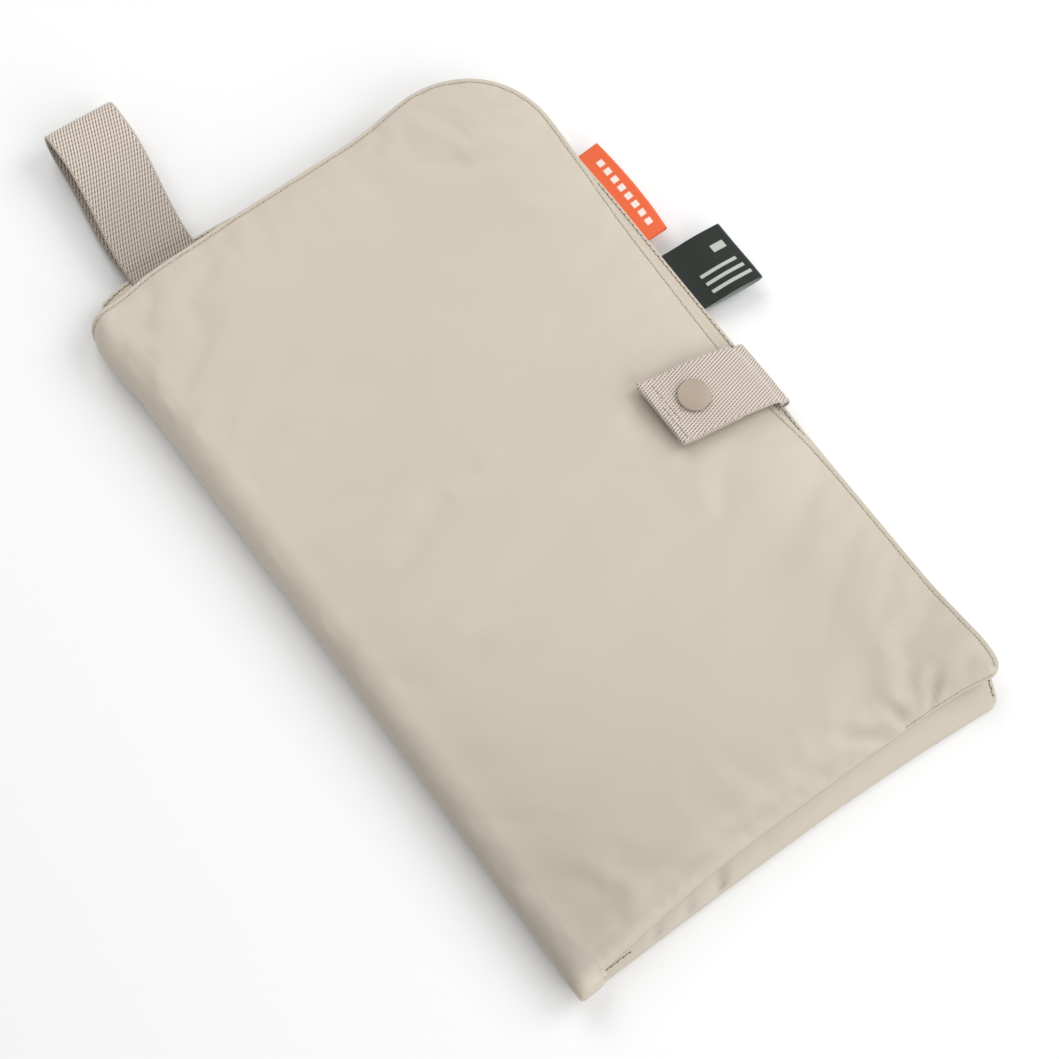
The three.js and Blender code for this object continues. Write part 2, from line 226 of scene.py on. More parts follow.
# ---------------------------------------------------------------- section of the packets
def hem(to_edge):
    """Half thickness of one padded panel at a distance in from its sewn edge."""
    nose = HEM_HALF * round_over(to_edge / 0.75)
    padding = (PACKET_H / 4 - HEM_HALF) * (1 - (1 - unit((to_edge - 1.5) / 15)) ** 2.4)
    seam_groove = -0.16 * bell((to_edge - STITCH_IN) / 0.55)
    return nose + padding + seam_groove


def lower_top(to_crease):
    """Height of the lower packet's upper face near its crosswise crease."""
    return PACKET_H - (PACKET_H - 2.4) * (1 - unit(to_crease / 16.5)) ** 1.5


def crease_faces(side, to_crease, s, x, y):
    """Depth of a packet's outer and inner faces, from its flat outer face."""
    if side == UPPER:
        t = unit((to_crease - CREASE_NOSE * 0.8) / 15)
        share = 0.20 * round_over(to_crease / CREASE_NOSE) + 0.80 * (1 - (1 - t) ** 1.9)
        share = share - 0.02 * bell((to_crease - CREASE_NOSE) / 0.5)
        # the upper packet rests on the lower one's upper face
        inner = 2 * PACKET_H - lower_top(np.maximum(y - droop(x), 6.0))
        outer = inner * (1 - share)
    else:
        top, nose = lower_top(to_crease), round_over(to_crease / CREASE_NOSE)
        inner, outer = top * (1 + nose) / 2, top * (1 - nose) / 2
    # at the spine the layers end square, and the crease starts in a small notch
    at_spine = fall((s - 2.5) / 12)
    square = round_over(to_crease / CREASE_NOSE, 2.2) * (0.93 + 0.07 * rise(to_crease / 12))
    notch = 3.2
    spine_outer = notch * (1 - square)
    spine_inner = notch + (PACKET_H - notch) * square
    outer = outer * (1 - at_spine) + spine_outer * at_spine
    return outer, inner * (1 - at_spine) + spine_inner * at_spine


# ---------------------------------------------------------------- relief of the fabric
# folds in the top panel: foot x, y, far end x, y, depth, half width
FOLDS = [
    (166.5, 5.0, 178.5, 18.0, 1.85, 2.0),
    (157.5, 5.0, 150.5, 20.0, 1.75, 2.0),
    (147.0, 6.0, 124.0, 24.0, 1.4, 2.4),
    (150.0, 108.0, 176.0, 131.0, 0.42, 5.0),
    (138.0, 134.0, 128.0, 118.0, 0.30, 5.5),
    (121.0, 7.0, 106.0, 25.0, 0.75, 3.0),
    (97.0, 7.5, 78.0, 21.0, 0.5, 3.0),
    (86.0, 8.0, 66.0, 22.0, 0.75, 2.6),
    (62.0, 7.0, 50.0, 15.0, 0.4, 2.2),
    (184.0, 3.0, 188.0, 13.0, 0.6, 1.8),
    (136.0, 6.5, 130.0, 12.5, 0.45, 1.6),
    (110.0, 7.0, 105.0, 12.0, 0.35, 1.5),
]
# dents in the lower packet's inner panel: x, y, depth, reach in x, reach in y
DENTS = [
    (66, 2.5, 2.2, 2.6, 4.2),
    (51, 1.5, 1.3, 2.2, 3.0),
    (37, 2.6, 1.2, 2.0, 2.6),
    (88, 3, 0.5, 3.5, 4),
    (118, 1, 0.35, 4, 4),
]


def fold_relief(x, y):
    total = np.zeros_like(x)
    for foot_x, foot_y, far_x, far_y, depth, half_width in FOLDS:
        length = math.hypot(far_x - foot_x, far_y - foot_y)
        dir_x, dir_y = (far_x - foot_x) / length, (far_y - foot_y) / length
        t = ((x - foot_x) * dir_x + (y - foot_y) * dir_y) / length
        bend = 0.54 * half_width * np.sin(unit(t) * math.pi)
        off = (x - foot_x) * -dir_y + (y - foot_y) * dir_x - bend
        reach = half_width * (0.75 + 0.9 * np.clip(t, 0, 1.2))
        # a valley between two unequal ridges
        profile = -bell(off / reach)
        profile = profile + 0.62 * bell((off - 1.75 * reach) / (1.1 * reach))
        profile = profile + 0.4 * bell((off + 1.8 * reach) / (1.2 * reach))
        total += depth * profile * rise((t + 0.22) / 0.3) * fall((t - 0.35) / 0.75)
    return total


def soft_relief(x, y):
    """Slow rise and fall of the padding under the fabric."""
    broad = value_noise(x / 62 + 3.1, y / 95 + 7.7)
    return broad * 0.55 + value_noise(x / 31 + 11.3, y / 47 + 2.2) * 0.22


CLOTH_COLS, CLOTH_ROWS = 66, 104
CLOTH_FRAMES = 22


def simulate_top_panel():
    """The top panel as slack cloth, held on four sides and blown up: its heights in mm."""
    width = PACKET_W[UPPER]
    x, y = np.meshgrid(np.linspace(0, width, CLOTH_COLS), np.linspace(0, LENGTH, CLOTH_ROWS))
    z = 0.25 * np.sin(math.pi * x / width) * np.sin(math.pi * y / LENGTH)
    z = z + 0.10 * value_noise(x / 9, y / 13)
    verts = np.stack([x, y, z], -1).reshape(-1, 3) * MM
    mesh = bpy.data.meshes.new("cloth_rest")
    mesh.from_pydata(verts.tolist(), [], grid_quads(CLOTH_ROWS, CLOTH_COLS).tolist())
    ob = bpy.data.objects.new("cloth_rest", mesh)
    scene = bpy.context.scene
    scene.collection.objects.link(ob)
    border = np.ones((CLOTH_ROWS, CLOTH_COLS), bool)
    border[1:-1, 1:-1] = False
    pin = ob.vertex_groups.new(name="pin")
    pin.add(np.flatnonzero(border).tolist(), 1.0, "REPLACE")

    mod = ob.modifiers.new("cloth", "CLOTH")
    cloth = mod.settings
    cloth.quality = 6
    cloth.mass = 0.12
    cloth.air_damping = 2.0
    cloth.tension_stiffness = 18.0
    cloth.compression_stiffness = 18.0
    cloth.shear_stiffness = 8.0
    cloth.bending_stiffness = 0.35
    cloth.vertex_group_mass = "pin"
    cloth.pin_stiffness = 1.0
    cloth.shrink_min = -0.006  # negative: the cloth grows, so it is slack
    cloth.use_pressure = True
    cloth.uniform_pressure_force = 2.2
    cloth.effector_weights.gravity = 0.0
    mod.collision_settings.use_collision = False
    mod.collision_settings.use_self_collision = False
    mod.point_cache.frame_start = 1
    mod.point_cache.frame_end = CLOTH_FRAMES
    for number in range(1, CLOTH_FRAMES + 1):
        scene.frame_set(number)
    settled = np.empty(CLOTH_ROWS * CLOTH_COLS * 3)
    evaluated = ob.evaluated_get(bpy.context.evaluated_depsgraph_get())
    evaluated.data.vertices.foreach_get("co", settled)
    bpy.data.objects.remove(ob)
    bpy.data.meshes.remove(mesh)
    scene.frame_set(1)
    return settled.reshape(CLOTH_ROWS, CLOTH_COLS, 3)[..., 2] / MM


def cloth_ripples():
    """What the cloth adds to the broad doming: ripples and hollows by the seams."""
    height = simulate_top_panel()
    # guards against a simulation that has blown up
    if not np.all(np.isfinite(height)) or np.abs(height).max() > 60:
        return None
    kernel = bell(np.arange(-12, 13) / 5.0)
    kernel /= kernel.sum()
    doming = np.pad(height, 12, mode="reflect", reflect_type="odd")
    for axis in (1, 0):
        doming = np.apply_along_axis(lambda r: np.convolve(r, kernel, "valid"), axis, doming)
    return np.clip(height - doming, -1.0, 1.0)


def ripple_relief(x, y):
    col = np.clip((x / PACKET_W[UPPER]) * (CLOTH_COLS - 1), 0, CLOTH_COLS - 1.001)
    row = np.clip((y / LENGTH) * (CLOTH_ROWS - 1), 0, CLOTH_ROWS - 1.001)
    col0, row0 = np.floor(col).astype(int), np.floor(row).astype(int)
    return blend_cells(RIPPLES, row0, col0, rise(row - row0), rise(col - col0))


def panel_relief(side, panel, s, sheet_y, x, y, to_edge, to_crease):
    """How far the fabric stands out from the smooth section."""
    relief = np.zeros_like(s)
    inside = unit(to_edge / 14) ** 1.2 * unit(to_crease / 9)
    if panel == OUTER and side == UPPER:
        relief = fold_relief(x, y) * unit(to_edge / 3.5) * unit(to_crease / 2.2)
        relief = relief + soft_relief(x, y) * inside
        if RIPPLES is not None:
            relief = relief + ripple_relief(s - SPINE_S, sheet_y)
        # a shallow ring pressed in round the snap
        snap_2 = (x - SNAP_X) ** 2 + (y - SNAP_Y) ** 2
        relief = relief - 1.2 * np.exp(-snap_2 / (2 * 16**2)) * (1 - np.exp(-snap_2 / (2 * 5**2)))
    elif panel == OUTER:
        relief = 0.3 * soft_relief(x - 91, y) * inside
    # gathers along the hem
    along = y + 0.7 * x
    gather = np.sin(along / 4.7 * 2 * math.pi + 1.3 * np.sin(along / 17))
    relief = relief + 0.09 * gather * bell((to_edge - 3.4) / 2.2)
    if side == UPPER:  # puckers along the crease
        pucker = 0.22 * np.sin(x / 6.3 * 2 * math.pi + 2.0 * np.sin(x / 19))
        pucker = pucker + 0.12 * np.sin(x / 3.1 * 2 * math.pi + x / 23)
        relief = relief + pucker * bell((to_crease - 3.6) / 2.2) * unit(to_edge / 3)
    elif panel == INNER:
        for dent_x, dent_y, depth, reach_x, reach_y in DENTS:
            off_x = (x - dent_x - 0.5 * (y - dent_y)) / reach_x
            dent = np.exp(-(off_x**2 + ((y - dent_y) / reach_y) ** 2))
            relief = relief - depth * dent * np.clip(to_crease / 2.6, 0.2, 1)
    return relief * rise(s / 16)


# ---------------------------------------------------------------- the layers
def lift(x, y):
    """How far the upper packet's two open corners stand up."""
    loop_corner = 5.2 * rise((x - 118) / 75) * rise((y - 222) / 85)
    return loop_corner + 5.4 * rise((x - 160) / 38) * rise((46 - y) / 44)


def layer(side, panel, kind, s, sheet_y):
    """Points of one layer; kind is cover, lining, wad_out or wad_in."""
    x, y, to_edge, to_crease = plan(side, s, sheet_y)
    half_thick = hem(to_edge)
    face_out, face_in = crease_faces(side, to_crease, s, x, y)
    fullness, middle = (face_in - face_out) / PACKET_H, (face_in + face_out) / 2
    panel_mid = PACKET_H / 4  # a panel's middle, from the packet's
    if kind == "cover":
        off = (panel_mid + half_thick) * fullness
    elif kind == "lining":
        inside = rise(to_edge / 7)
        off = (panel_mid - half_thick) * fullness + 0.12 * inside * unit(to_crease / 3)
        y = y + 3.4 * inside * np.exp(-to_crease / 5)
    else:
        t = unit((to_edge - 3.5) / 12) * unit((to_crease - 9) / 9)
        body = round_over(t) * (panel_mid - 0.72)
        if kind == "wad_out":
            off = np.maximum(body - 2.7 * fall((to_crease - 22) / 16), -body + 0.12)
        else:
            off = -body
        off = (panel_mid + off) * np.clip(fullness, 0.2, 1.2)
    if kind in ("cover", "wad_out"):
        relief = panel_relief(side, panel, s, sheet_y, x, y, to_edge, to_crease)
        off = off + (np.minimum(relief, 0) if kind == "wad_out" else relief)
    depth = middle - off if panel == OUTER else middle + off

    # wrap round the spine
    inward = 1 - depth / SPINE_R
    angle = np.interp(s, _arc, _angles)
    x = np.where(s >= FLAT_S, x, SPINE_HALF_W - SPINE_HALF_W * inward * np.cos(angle))
    z = SPINE_R + side * SPINE_R * inward * np.sin(angle)
    # the stack is thinner towards its open edges
    z = z * (1 - 0.125 * fall(to_edge / 34) * rise((s - FLAT_S * 0.4) / 20))
    if side == UPPER:
        z = z + lift(x_flat := np.where(s >= FLAT_S, x, plan(side, s, sheet_y)[0]), y)
        if panel == OUTER:  # the top panel slopes down towards the spine
            sag = 0.3 + 4.6 * fall((y - 20) / 230)
            sag = sag * np.exp(-np.clip(s - SPINE_S, 0, 400) / 24)
            sag = sag * rise((s - FLAT_S * 0.2) / (FLAT_S * 1.3)) * fall((s - 60) / 40)
            z = z - sag * unit(to_crease / 12)
    # the spine bows in along its middle and runs out at the loop end
    x = x + 1.2 * np.sin(math.pi * unit(y / LENGTH)) * fall(s / 60)
    x = x - 1.9 * rise((y - (LENGTH - 44)) / 30) * fall(s / 26)
    return np.stack([x, y, np.maximum(z, 0.03)], -1)


# ---------------------------------------------------------------- mesh helpers
def grid_quads(rows, cols, flip=False, closed=False, base=0):
    """Quads of a grid of points; closed joins the last column to the first."""
    row, col = np.meshgrid(
        np.arange(rows - 1), np.arange(cols if closed else cols - 1), indexing="ij"
    )
    here, after = row * cols + col, row * cols + (col + 1) % cols
    quads = np.stack([here, after, after + cols, here + cols], -1).reshape(-1, 4)
    return (quads[:, ::-1] if flip else quads) + base


def mesh_object(name, verts, quads, uv, materials, tris=(), attributes=None):
    """A smooth object from points in the pad's millimetres; UVs are given for each point."""
    verts = np.asarray(verts, float) * MM
    verts[:, 0] += ORIGIN_X
    verts[:, 1] += ORIGIN_Y
    corners = np.concatenate([np.ravel(quads), np.ravel(tris)]).astype(np.int32)
    sizes = np.repeat([4, 3], [len(quads), len(tris)]).astype(np.int32)
    mesh = bpy.data.meshes.new(name)
    mesh.vertices.add(len(verts))
    mesh.vertices.foreach_set("co", verts.astype(np.float32).ravel())
    mesh.loops.add(len(corners))
    mesh.loops.foreach_set("vertex_index", corners)
    mesh.polygons.add(len(sizes))
    starts = np.concatenate([[0], np.cumsum(sizes)[:-1]]).astype(np.int32)
    mesh.polygons.foreach_set("loop_start", starts)
    mesh.polygons.foreach_set("loop_total", sizes)
    mesh.polygons.foreach_set("use_smooth", np.ones(len(sizes), bool))
    mesh.update(calc_edges=True)
    uv_map = mesh.uv_layers.new(name="UVMap")
    uv_map.data.foreach_set("uv", np.asarray(uv, np.float32)[corners].ravel())
    for key, values in (attributes or {}).items():
        attribute = mesh.attributes.new(key, "FLOAT", "POINT")
        attribute.data.foreach_set("value", np.asarray(values, np.float32).ravel())
    mesh.validate()
    ob = bpy.data.objects.new(name, mesh)
    bpy.context.scene.collection.objects.link(ob)
    for material in materials:
        mesh.materials.append(material)
    return ob


def set_material_index(ob, index):
    ob.data.polygons.foreach_set("material_index", index)
    ob.data.update()


def register(ob, slot, *nodes):
    """Hide the CAD nodes that the object stands for; slot is not used."""
    if nodes:
        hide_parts(*nodes)


RIPPLES = cloth_ripples()


# ---------------------------------------------------------------- materials
BLACK, WHITE = (0, 0, 0, 1), (1, 1, 1, 1)
FAC_OF_WAVE, FAC_OF_ATTRIBUTE, MIXED_COLOUR = 1, 2, 2  # output sockets


def srgb(*channels):
    linear = [((c / 255 + 0.055) / 1.055) ** 2.4 if c > 10 else c / 255 / 12.92 for c in channels]
    return (*linear, 1)


class Shader:
    """A material being built; each method adds nodes and returns their output socket."""

    def __init__(self, name):
        self.material = bpy.data.materials.new(name)
        self.material.use_nodes = True
        self.tree = self.material.node_tree
        self.tree.nodes.clear()
        output = self.tree.nodes.new("ShaderNodeOutputMaterial")
        self.principled = self.tree.nodes.new("ShaderNodeBsdfPrincipled")
        self.feed(output.inputs[0], self.principled.outputs[0])

    def feed(self, socket, value):
        """Link an output socket to this one, or set it to a plain value."""
        if hasattr(value, "node"):
            self.tree.links.new(value, socket)
        else:
            socket.default_value = value

    def set(self, **inputs):
        for key, value in inputs.items():
            self.feed(self.principled.inputs[key.replace("_", " ")], value)

    def node(self, kind, inputs, output=0, **settings):
        made = self.tree.nodes.new(kind)
        for key, value in settings.items():
            setattr(made, key, value)
        for key, value in inputs.items():
            self.feed(made.inputs[key], value)
        return made.outputs[output]

    def uv(self, scale=100, turn=0.0):
        """UVs, which are in decimetres: by default scaled to millimetres."""
        source = self.node("ShaderNodeUVMap", {}, uv_map="UVMap")
        inputs = {"Vector": source, "Scale": (scale, scale, 1), "Rotation": (0, 0, turn)}
        return self.node("ShaderNodeMapping", inputs)

    def object_mm(self):
        source = self.node("ShaderNodeTexCoord", {}, output="Object")
        return self.node("ShaderNodeMapping", {"Vector": source, "Scale": (1000, 1000, 1000)})

    def noise(self, vector, scale, detail=2.0, roughness=0.5):
        inputs = {"Vector": vector, "Scale": scale, "Detail": detail, "Roughness": roughness}
        return self.node("ShaderNodeTexNoise", inputs)

    def wave(self, vector, direction, **inputs):
        settings = {"wave_type": "BANDS", "bands_direction": direction}
        inputs["Vector"] = vector
        return self.node("ShaderNodeTexWave", inputs, FAC_OF_WAVE, **settings)

    def attribute(self, name):
        return self.node("ShaderNodeAttribute", {}, FAC_OF_ATTRIBUTE, attribute_name=name)

    def ramp(self, factor, stops):
        made = self.tree.nodes.new("ShaderNodeValToRGB")
        self.feed(made.inputs[0], factor)
        elements = made.color_ramp.elements
        while len(elements) < len(stops):
            elements.new(0.5)
        for element, (position, colour) in zip(elements, stops):
            element.position = position
            element.color = colour
        return made.outputs[0]

    def edge_highlight(self, start, end):
        """Mask of the convex edges, where a highlight is painted."""
        pointiness = self.node("ShaderNodeNewGeometry", {}, output="Pointiness")
        return self.ramp(pointiness, [(start, BLACK), (end, WHITE)])

    def mix(self, factor, first, second):
        inputs = {0: factor, 6: first, 7: second}
        return self.node("ShaderNodeMix", inputs, MIXED_COLOUR, data_type="RGBA")

    def math(self, operation, first, second=0.0):
        inputs = {0: first, 1: second, 2: 0.0}
        return self.node("ShaderNodeMath", inputs, operation=operation)

    def tint(self, colour, mask, amount, towards):
        return self.mix(self.math("MULTIPLY", mask, amount), colour, towards)

    def vary(self, mask, spread, start):
        return self.math("ADD", self.math("MULTIPLY", mask, spread), start)

    def bump(self, height, strength, distance, under=None):
        """Bump of a height, over another normal if one is given; distance in metres."""
        inputs = {"Strength": strength, "Distance": distance, "Height": height}
        if under is not None:
            inputs["Normal"] = under
        return self.node("ShaderNodeBump", inputs)


def fabric_material(name, base, light, dark, rough, sheen, weave):
    """Coated polyester: a fine plain weave under a satin coating."""
    m = Shader(name)
    uv = m.uv()
    warp = m.wave(uv, "X", Scale=0.75, Distortion=0.35, Detail=1.0)
    weft = m.wave(uv, "Y", Scale=0.75, Distortion=0.35, Detail=1.0)
    cloth = m.math("MULTIPLY", warp, weft)
    patches = m.noise(uv, scale=0.018, detail=3.0, roughness=0.55)
    mottle = m.noise(uv, scale=0.22, detail=3.0, roughness=0.6)
    grain = m.noise(uv, scale=5.0, roughness=0.6)
    colour = m.mix(m.ramp(patches, [(0.2, BLACK), (0.8, WHITE)]), dark, light)
    colour = m.mix(0.6, colour, base)
    colour = m.tint(colour, m.math("SUBTRACT", mottle, 0.5), 0.12, dark)
    colour = m.tint(colour, cloth, 0.07, dark)
    # painted highlight: convex edges such as the hem's nose are painted lighter
    colour = m.tint(colour, m.edge_highlight(0.5, 0.62), 0.10, light)
    # painted shade from the painted_shade attribute: darker towards the spine and the crease end
    colour = m.tint(colour, m.attribute("painted_shade"), 2.2, (0.02, 0.018, 0.014, 1))
    normal = m.bump(cloth, strength=weave, distance=0.00004)
    normal = m.bump(grain, strength=0.22, distance=0.00004, under=normal)
    normal = m.bump(mottle, strength=0.10, distance=0.00012, under=normal)
    m.set(
        Base_Color=colour,
        Roughness=m.vary(grain, 0.12, rough - 0.06),
        Sheen_Weight=sheen,
        Sheen_Roughness=0.45,
        Specular_IOR_Level=0.36,
        Normal=normal,
    )
    return m.material


def wadding_material():
    m = Shader("wadding")
    position = m.object_mm()
    fibres = m.noise(position, scale=0.9, detail=6.0, roughness=0.7)
    lumps = m.noise(position, scale=0.12, detail=3.0, roughness=0.6)
    normal = m.bump(lumps, strength=0.6, distance=0.0015)
    m.set(
        Base_Color=m.mix(fibres, srgb(232, 229, 222), srgb(250, 249, 246)),
        Roughness=0.95,
        Sheen_Weight=0.4,
        Normal=m.bump(fibres, strength=0.8, distance=0.0006, under=normal),
    )
    return m.material


def thread_material():
    m = Shader("thread")
    twist = m.wave(m.uv(scale=1), "DIAGONAL", Scale=2.2, Distortion=0.6)
    m.set(
        Base_Color=m.mix(twist, srgb(186, 175, 156), srgb(210, 201, 186)),
        Roughness=0.62,
        Sheen_Weight=0.25,
        Normal=m.bump(twist, strength=0.6, distance=0.00006),
    )
    return m.material


def hole_shade_material():
    m = Shader("needle_hole_shade")
    speckle = m.noise(m.object_mm(), scale=3.0)
    # painted shade: dark ovals laid on the fabric stand in for the shade in the needle holes
    m.set(Base_Color=m.mix(speckle, srgb(92, 82, 64), srgb(120, 108, 88)), Roughness=0.9)
    return m.material


def webbing_material():
    """Woven webbing. The attribute rib is 0 in the gaps of the weave and 1 on its crowns."""
    m = Shader("webbing")
    uv = m.uv()
    turned = m.uv(turn=math.radians(24))
    strands = m.wave(turned, "Y", Scale=1.6, Distortion=1.2, Detail=2.0)
    fuzz = m.noise(uv, scale=6.0, detail=4.0, roughness=0.7)
    blotch = m.noise(uv, scale=0.10, detail=3.0, roughness=0.6)
    # painted shade: the gaps of the weave are painted dark brown and the crowns light
    stops = [
        (0.0, srgb(100, 82, 67)),
        (0.32, srgb(144, 126, 110)),
        (0.66, srgb(214, 203, 192)),
        (1.0, srgb(231, 222, 212)),
    ]
    colour = m.ramp(m.attribute("rib"), stops)
    # painted shade from the painted_shade attribute: the loop darker at its root and on its lower
    # run, the strap a little darker all over
    colour = m.tint(colour, m.attribute("painted_shade"), 2.2, srgb(60, 50, 42))
    colour = m.tint(colour, fuzz, 0.16, srgb(160, 146, 132))
    colour = m.tint(colour, blotch, 0.10, srgb(190, 177, 162))
    normal = m.bump(fuzz, strength=0.35, distance=0.0001)
    m.set(
        Base_Color=colour,
        Roughness=m.vary(fuzz, 0.2, 0.62),
        Sheen_Weight=0.35,
        Sheen_Roughness=0.5,
        Specular_IOR_Level=0.3,
        Normal=m.bump(strands, strength=0.35, distance=0.00008, under=normal),
    )
    return m.material


def plastic_material():
    m = Shader("snap_plastic")
    position = m.object_mm()
    grain = m.noise(position, scale=4.0, detail=3.0, roughness=0.6)
    patches = m.noise(position, scale=0.15)
    colour = m.mix(patches, srgb(164, 148, 133), srgb(171, 156, 141))
    m.set(
        # painted highlight: the cap's rounded rim is painted lighter
        Base_Color=m.tint(colour, m.edge_highlight(0.52, 0.66), 0.35, srgb(198, 184, 170)),
        Roughness=m.vary(grain, 0.10, 0.33),
        Specular_IOR_Level=0.45,
        Normal=m.bump(grain, strength=0.12, distance=0.00005),
    )
    return m.material


def ribbon_material(name, base, dark, mark_colour=None, marks=()):
    """Satin ribbon with plain woven bars: u from, u to, v from, v to, edge softness, in mm."""
    m = Shader(name)
    uv = m.uv()
    warp = m.wave(uv, "X", Scale=1.1, Distortion=0.4)
    weft = m.wave(uv, "Y", Scale=0.8, Distortion=0.3)
    fuzz = m.noise(uv, scale=3.0, detail=3.0, roughness=0.6)
    weave = m.math("MULTIPLY", warp, weft)
    colour = m.tint(base, weave, 0.35, dark)
    colour = m.tint(colour, fuzz, 0.15, dark)
    if marks:
        u = m.node("ShaderNodeSeparateXYZ", {0: uv})
        v = u.node.outputs[1]
        all_bars = None
        for u_from, u_to, v_from, v_to, soft in marks:
            bar = None
            for coordinate, low, high in ((u, u_from, u_to), (v, v_from, v_to)):
                off = m.math("SUBTRACT", coordinate, (low + high) / 2)
                inside = m.math("SUBTRACT", (high - low) / 2, m.math("ABSOLUTE", off))
                inside = m.math("MULTIPLY", inside, 1 / soft)
                inside = m.node("ShaderNodeClamp", {"Value": inside})
                bar = inside if bar is None else m.math("MULTIPLY", bar, inside)
            all_bars = bar if all_bars is None else m.math("MAXIMUM", all_bars, bar)
        colour = m.tint(colour, all_bars, 0.92, mark_colour)
    normal = m.bump(fuzz, strength=0.2, distance=0.0001)
    m.set(
        Base_Color=colour,
        Roughness=0.6,
        Sheen_Weight=0.25,
        Specular_IOR_Level=0.3,
        Normal=m.bump(weave, strength=0.5, distance=0.00008, under=normal),
    )
    return m.material


FABRIC = fabric_material(
    "coated_fabric",
    base=srgb(196, 186, 171),
    light=srgb(198, 189, 175),
    dark=srgb(190, 180, 164),
    rough=0.5,
    sheen=0.12,
    weave=0.35,
)
LINING = fabric_material(
    "lining_fabric",
    base=srgb(203, 195, 181),
    light=srgb(207, 199, 187),
    dark=srgb(194, 186, 171),
    rough=0.38,
    sheen=0.05,
    weave=0.2,
)
WADDING = wadding_material()
THREAD = thread_material()
HOLE_SHADE = hole_shade_material()
WEBBING = webbing_material()
PLASTIC = plastic_material()

# ---------------------------------------------------------------- covers, linings and wadding
# grid positions in from an edge, closely spaced where the hem curves
NEAR_EDGE = np.array(
    [0, 0.06, 0.16, 0.3, 0.48, 0.7, 0.95, 1.25, 1.55, 1.85, 2.15, 2.5]
    + [2.95, 3.5, 4.2, 5.0, 5.9, 7.0, 8.2, 9.6, 11.2, 13.0, 15.0, 17.0]
)


def join_packet(ob, side, slot, *nodes):
    """Fabric of a packet: its transform is baked into the mesh and the CAD nodes it stands for
    are hidden.
    """
    if side == UPPER:
        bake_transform(ob)
    else:
        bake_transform(ob)
    register(ob, slot, *nodes)


def spaced(total, coarse, fine_start=True):
    """Grid positions from 0 to total, fine at the end and, if asked, at the start."""
    first = NEAR_EDGE if fine_start else np.array([0.0])
    last = total - NEAR_EDGE[::-1]
    count = int(math.ceil((last[0] - first[-1]) / coarse))
    middle = np.linspace(first[-1], last[0], count + 1)[1:-1]
    return np.concatenate([first, middle, last])


def s_grid(side, coarse):
    spine = np.linspace(0, FLAT_S + 4, 26)
    rest = spaced(SHEET_W[side] - spine[-1], coarse, fine_start=False) + spine[-1]
    return np.concatenate([spine, rest[1:]])


def sheet_object(name, side, kind, coarse, material):
    """Outer panel from the loop end to the crease, round it, and the inner panel back."""
    y_grid = spaced(LENGTH, coarse)
    count = len(y_grid)
    run = np.concatenate([-y_grid[::-1], y_grid[1:]])
    s, run = np.meshgrid(s_grid(side, coarse), run, indexing="ij")
    outer = layer(side, OUTER, kind, s[:, :count], -run[:, :count])
    inner = layer(side, INNER, kind, s[:, count:], run[:, count:])
    points = np.concatenate([outer, inner], 1)
    # painted shade: the cloth is painted darker towards the spine and the crease end, and on the
    # upper packet near its open corner by the crease; the lower packet gets about a third of it
    x, y = np.clip(points[..., 0], 0, 400), points[..., 1]
    painted_shade = 0.045 * fall((y - 10) / 110) * fall((x - 60) / 110)
    painted_shade = painted_shade + 0.075 * np.exp(-x / 30) * fall((y - 90) / 130)
    if side == UPPER:
        painted_shade = painted_shade + 0.05 * rise((x - 115) / 60) * fall((y - 25) / 100)
    else:
        painted_shade = painted_shade * 0.35
    painted_shade = painted_shade * rise((np.abs(run) - 1.0) / 6)
    quads = grid_quads(*s.shape, flip=(side == UPPER) != (kind == "cover"))
    uv = np.stack([s / 100 * side, run / 100], -1).reshape(-1, 2)
    return mesh_object(
        name, points.reshape(-1, 3), quads, uv, [material], attributes={"painted_shade": painted_shade}
    )


def thicken(ob, thickness):
    mod = ob.modifiers.new("thickness", "SOLIDIFY")
    mod.thickness = thickness
    mod.offset = -1.0
    mod.use_even_offset = False
    mod.use_rim = True


def wadding_object(name, side, panel):
    s = s_grid(side, 6.0)
    upper_w = SHEET_W[UPPER]
    edge = np.linspace(upper_w - 16, SHEET_W[side] - 3.5, 12)
    s = np.concatenate([s[s < upper_w - 18], edge])
    y = np.concatenate(
        [
            np.linspace(9, 19, 10),
            np.linspace(23, LENGTH - 20, 56),
            np.linspace(LENGTH - 16, LENGTH - 3.5, 12),
        ]
    )
    s, y = np.meshgrid(s, y, indexing="ij")
    faces = [layer(side, panel, kind, s, y).reshape(-1, 3) for kind in ("wad_out", "wad_in")]
    count = s.size
    index = np.arange(count).reshape(s.shape)
    ring = np.concatenate([index[0, :-1], index[:-1, -1], index[-1, :0:-1], index[:0:-1, 0]])
    after = np.roll(ring, -1)
    rim = np.stack([after, ring, ring + count, after + count], -1)
    quads = [grid_quads(*s.shape), grid_quads(*s.shape, flip=True, base=count), rim]
    no_uv = np.zeros((2 * count, 2))
    return mesh_object(name, np.concatenate(faces), np.concatenate(quads), no_uv, [WADDING])


for name, side, nodes in (
    ("upper_cover", UPPER, ["upper_cover"]),
    ("lower_cover", LOWER, ["lower_cover", "spine_cover"]),
):
    cover = sheet_object(name + "_fabric", side, "cover", 2.0, FABRIC)
    thicken(cover, 0.3 * MM)
    join_packet(cover, side, "coated_fabric", *nodes)

for name, side, nodes in (
    ("upper_lining", UPPER, ["upper_lining"]),
    ("lower_lining", LOWER, ["lower_lining", "spine_lining"]),
):
    lining = sheet_object(name + "_fabric", side, "lining", 3.5, LINING)
    join_packet(lining, side, "lining_fabric", *nodes)

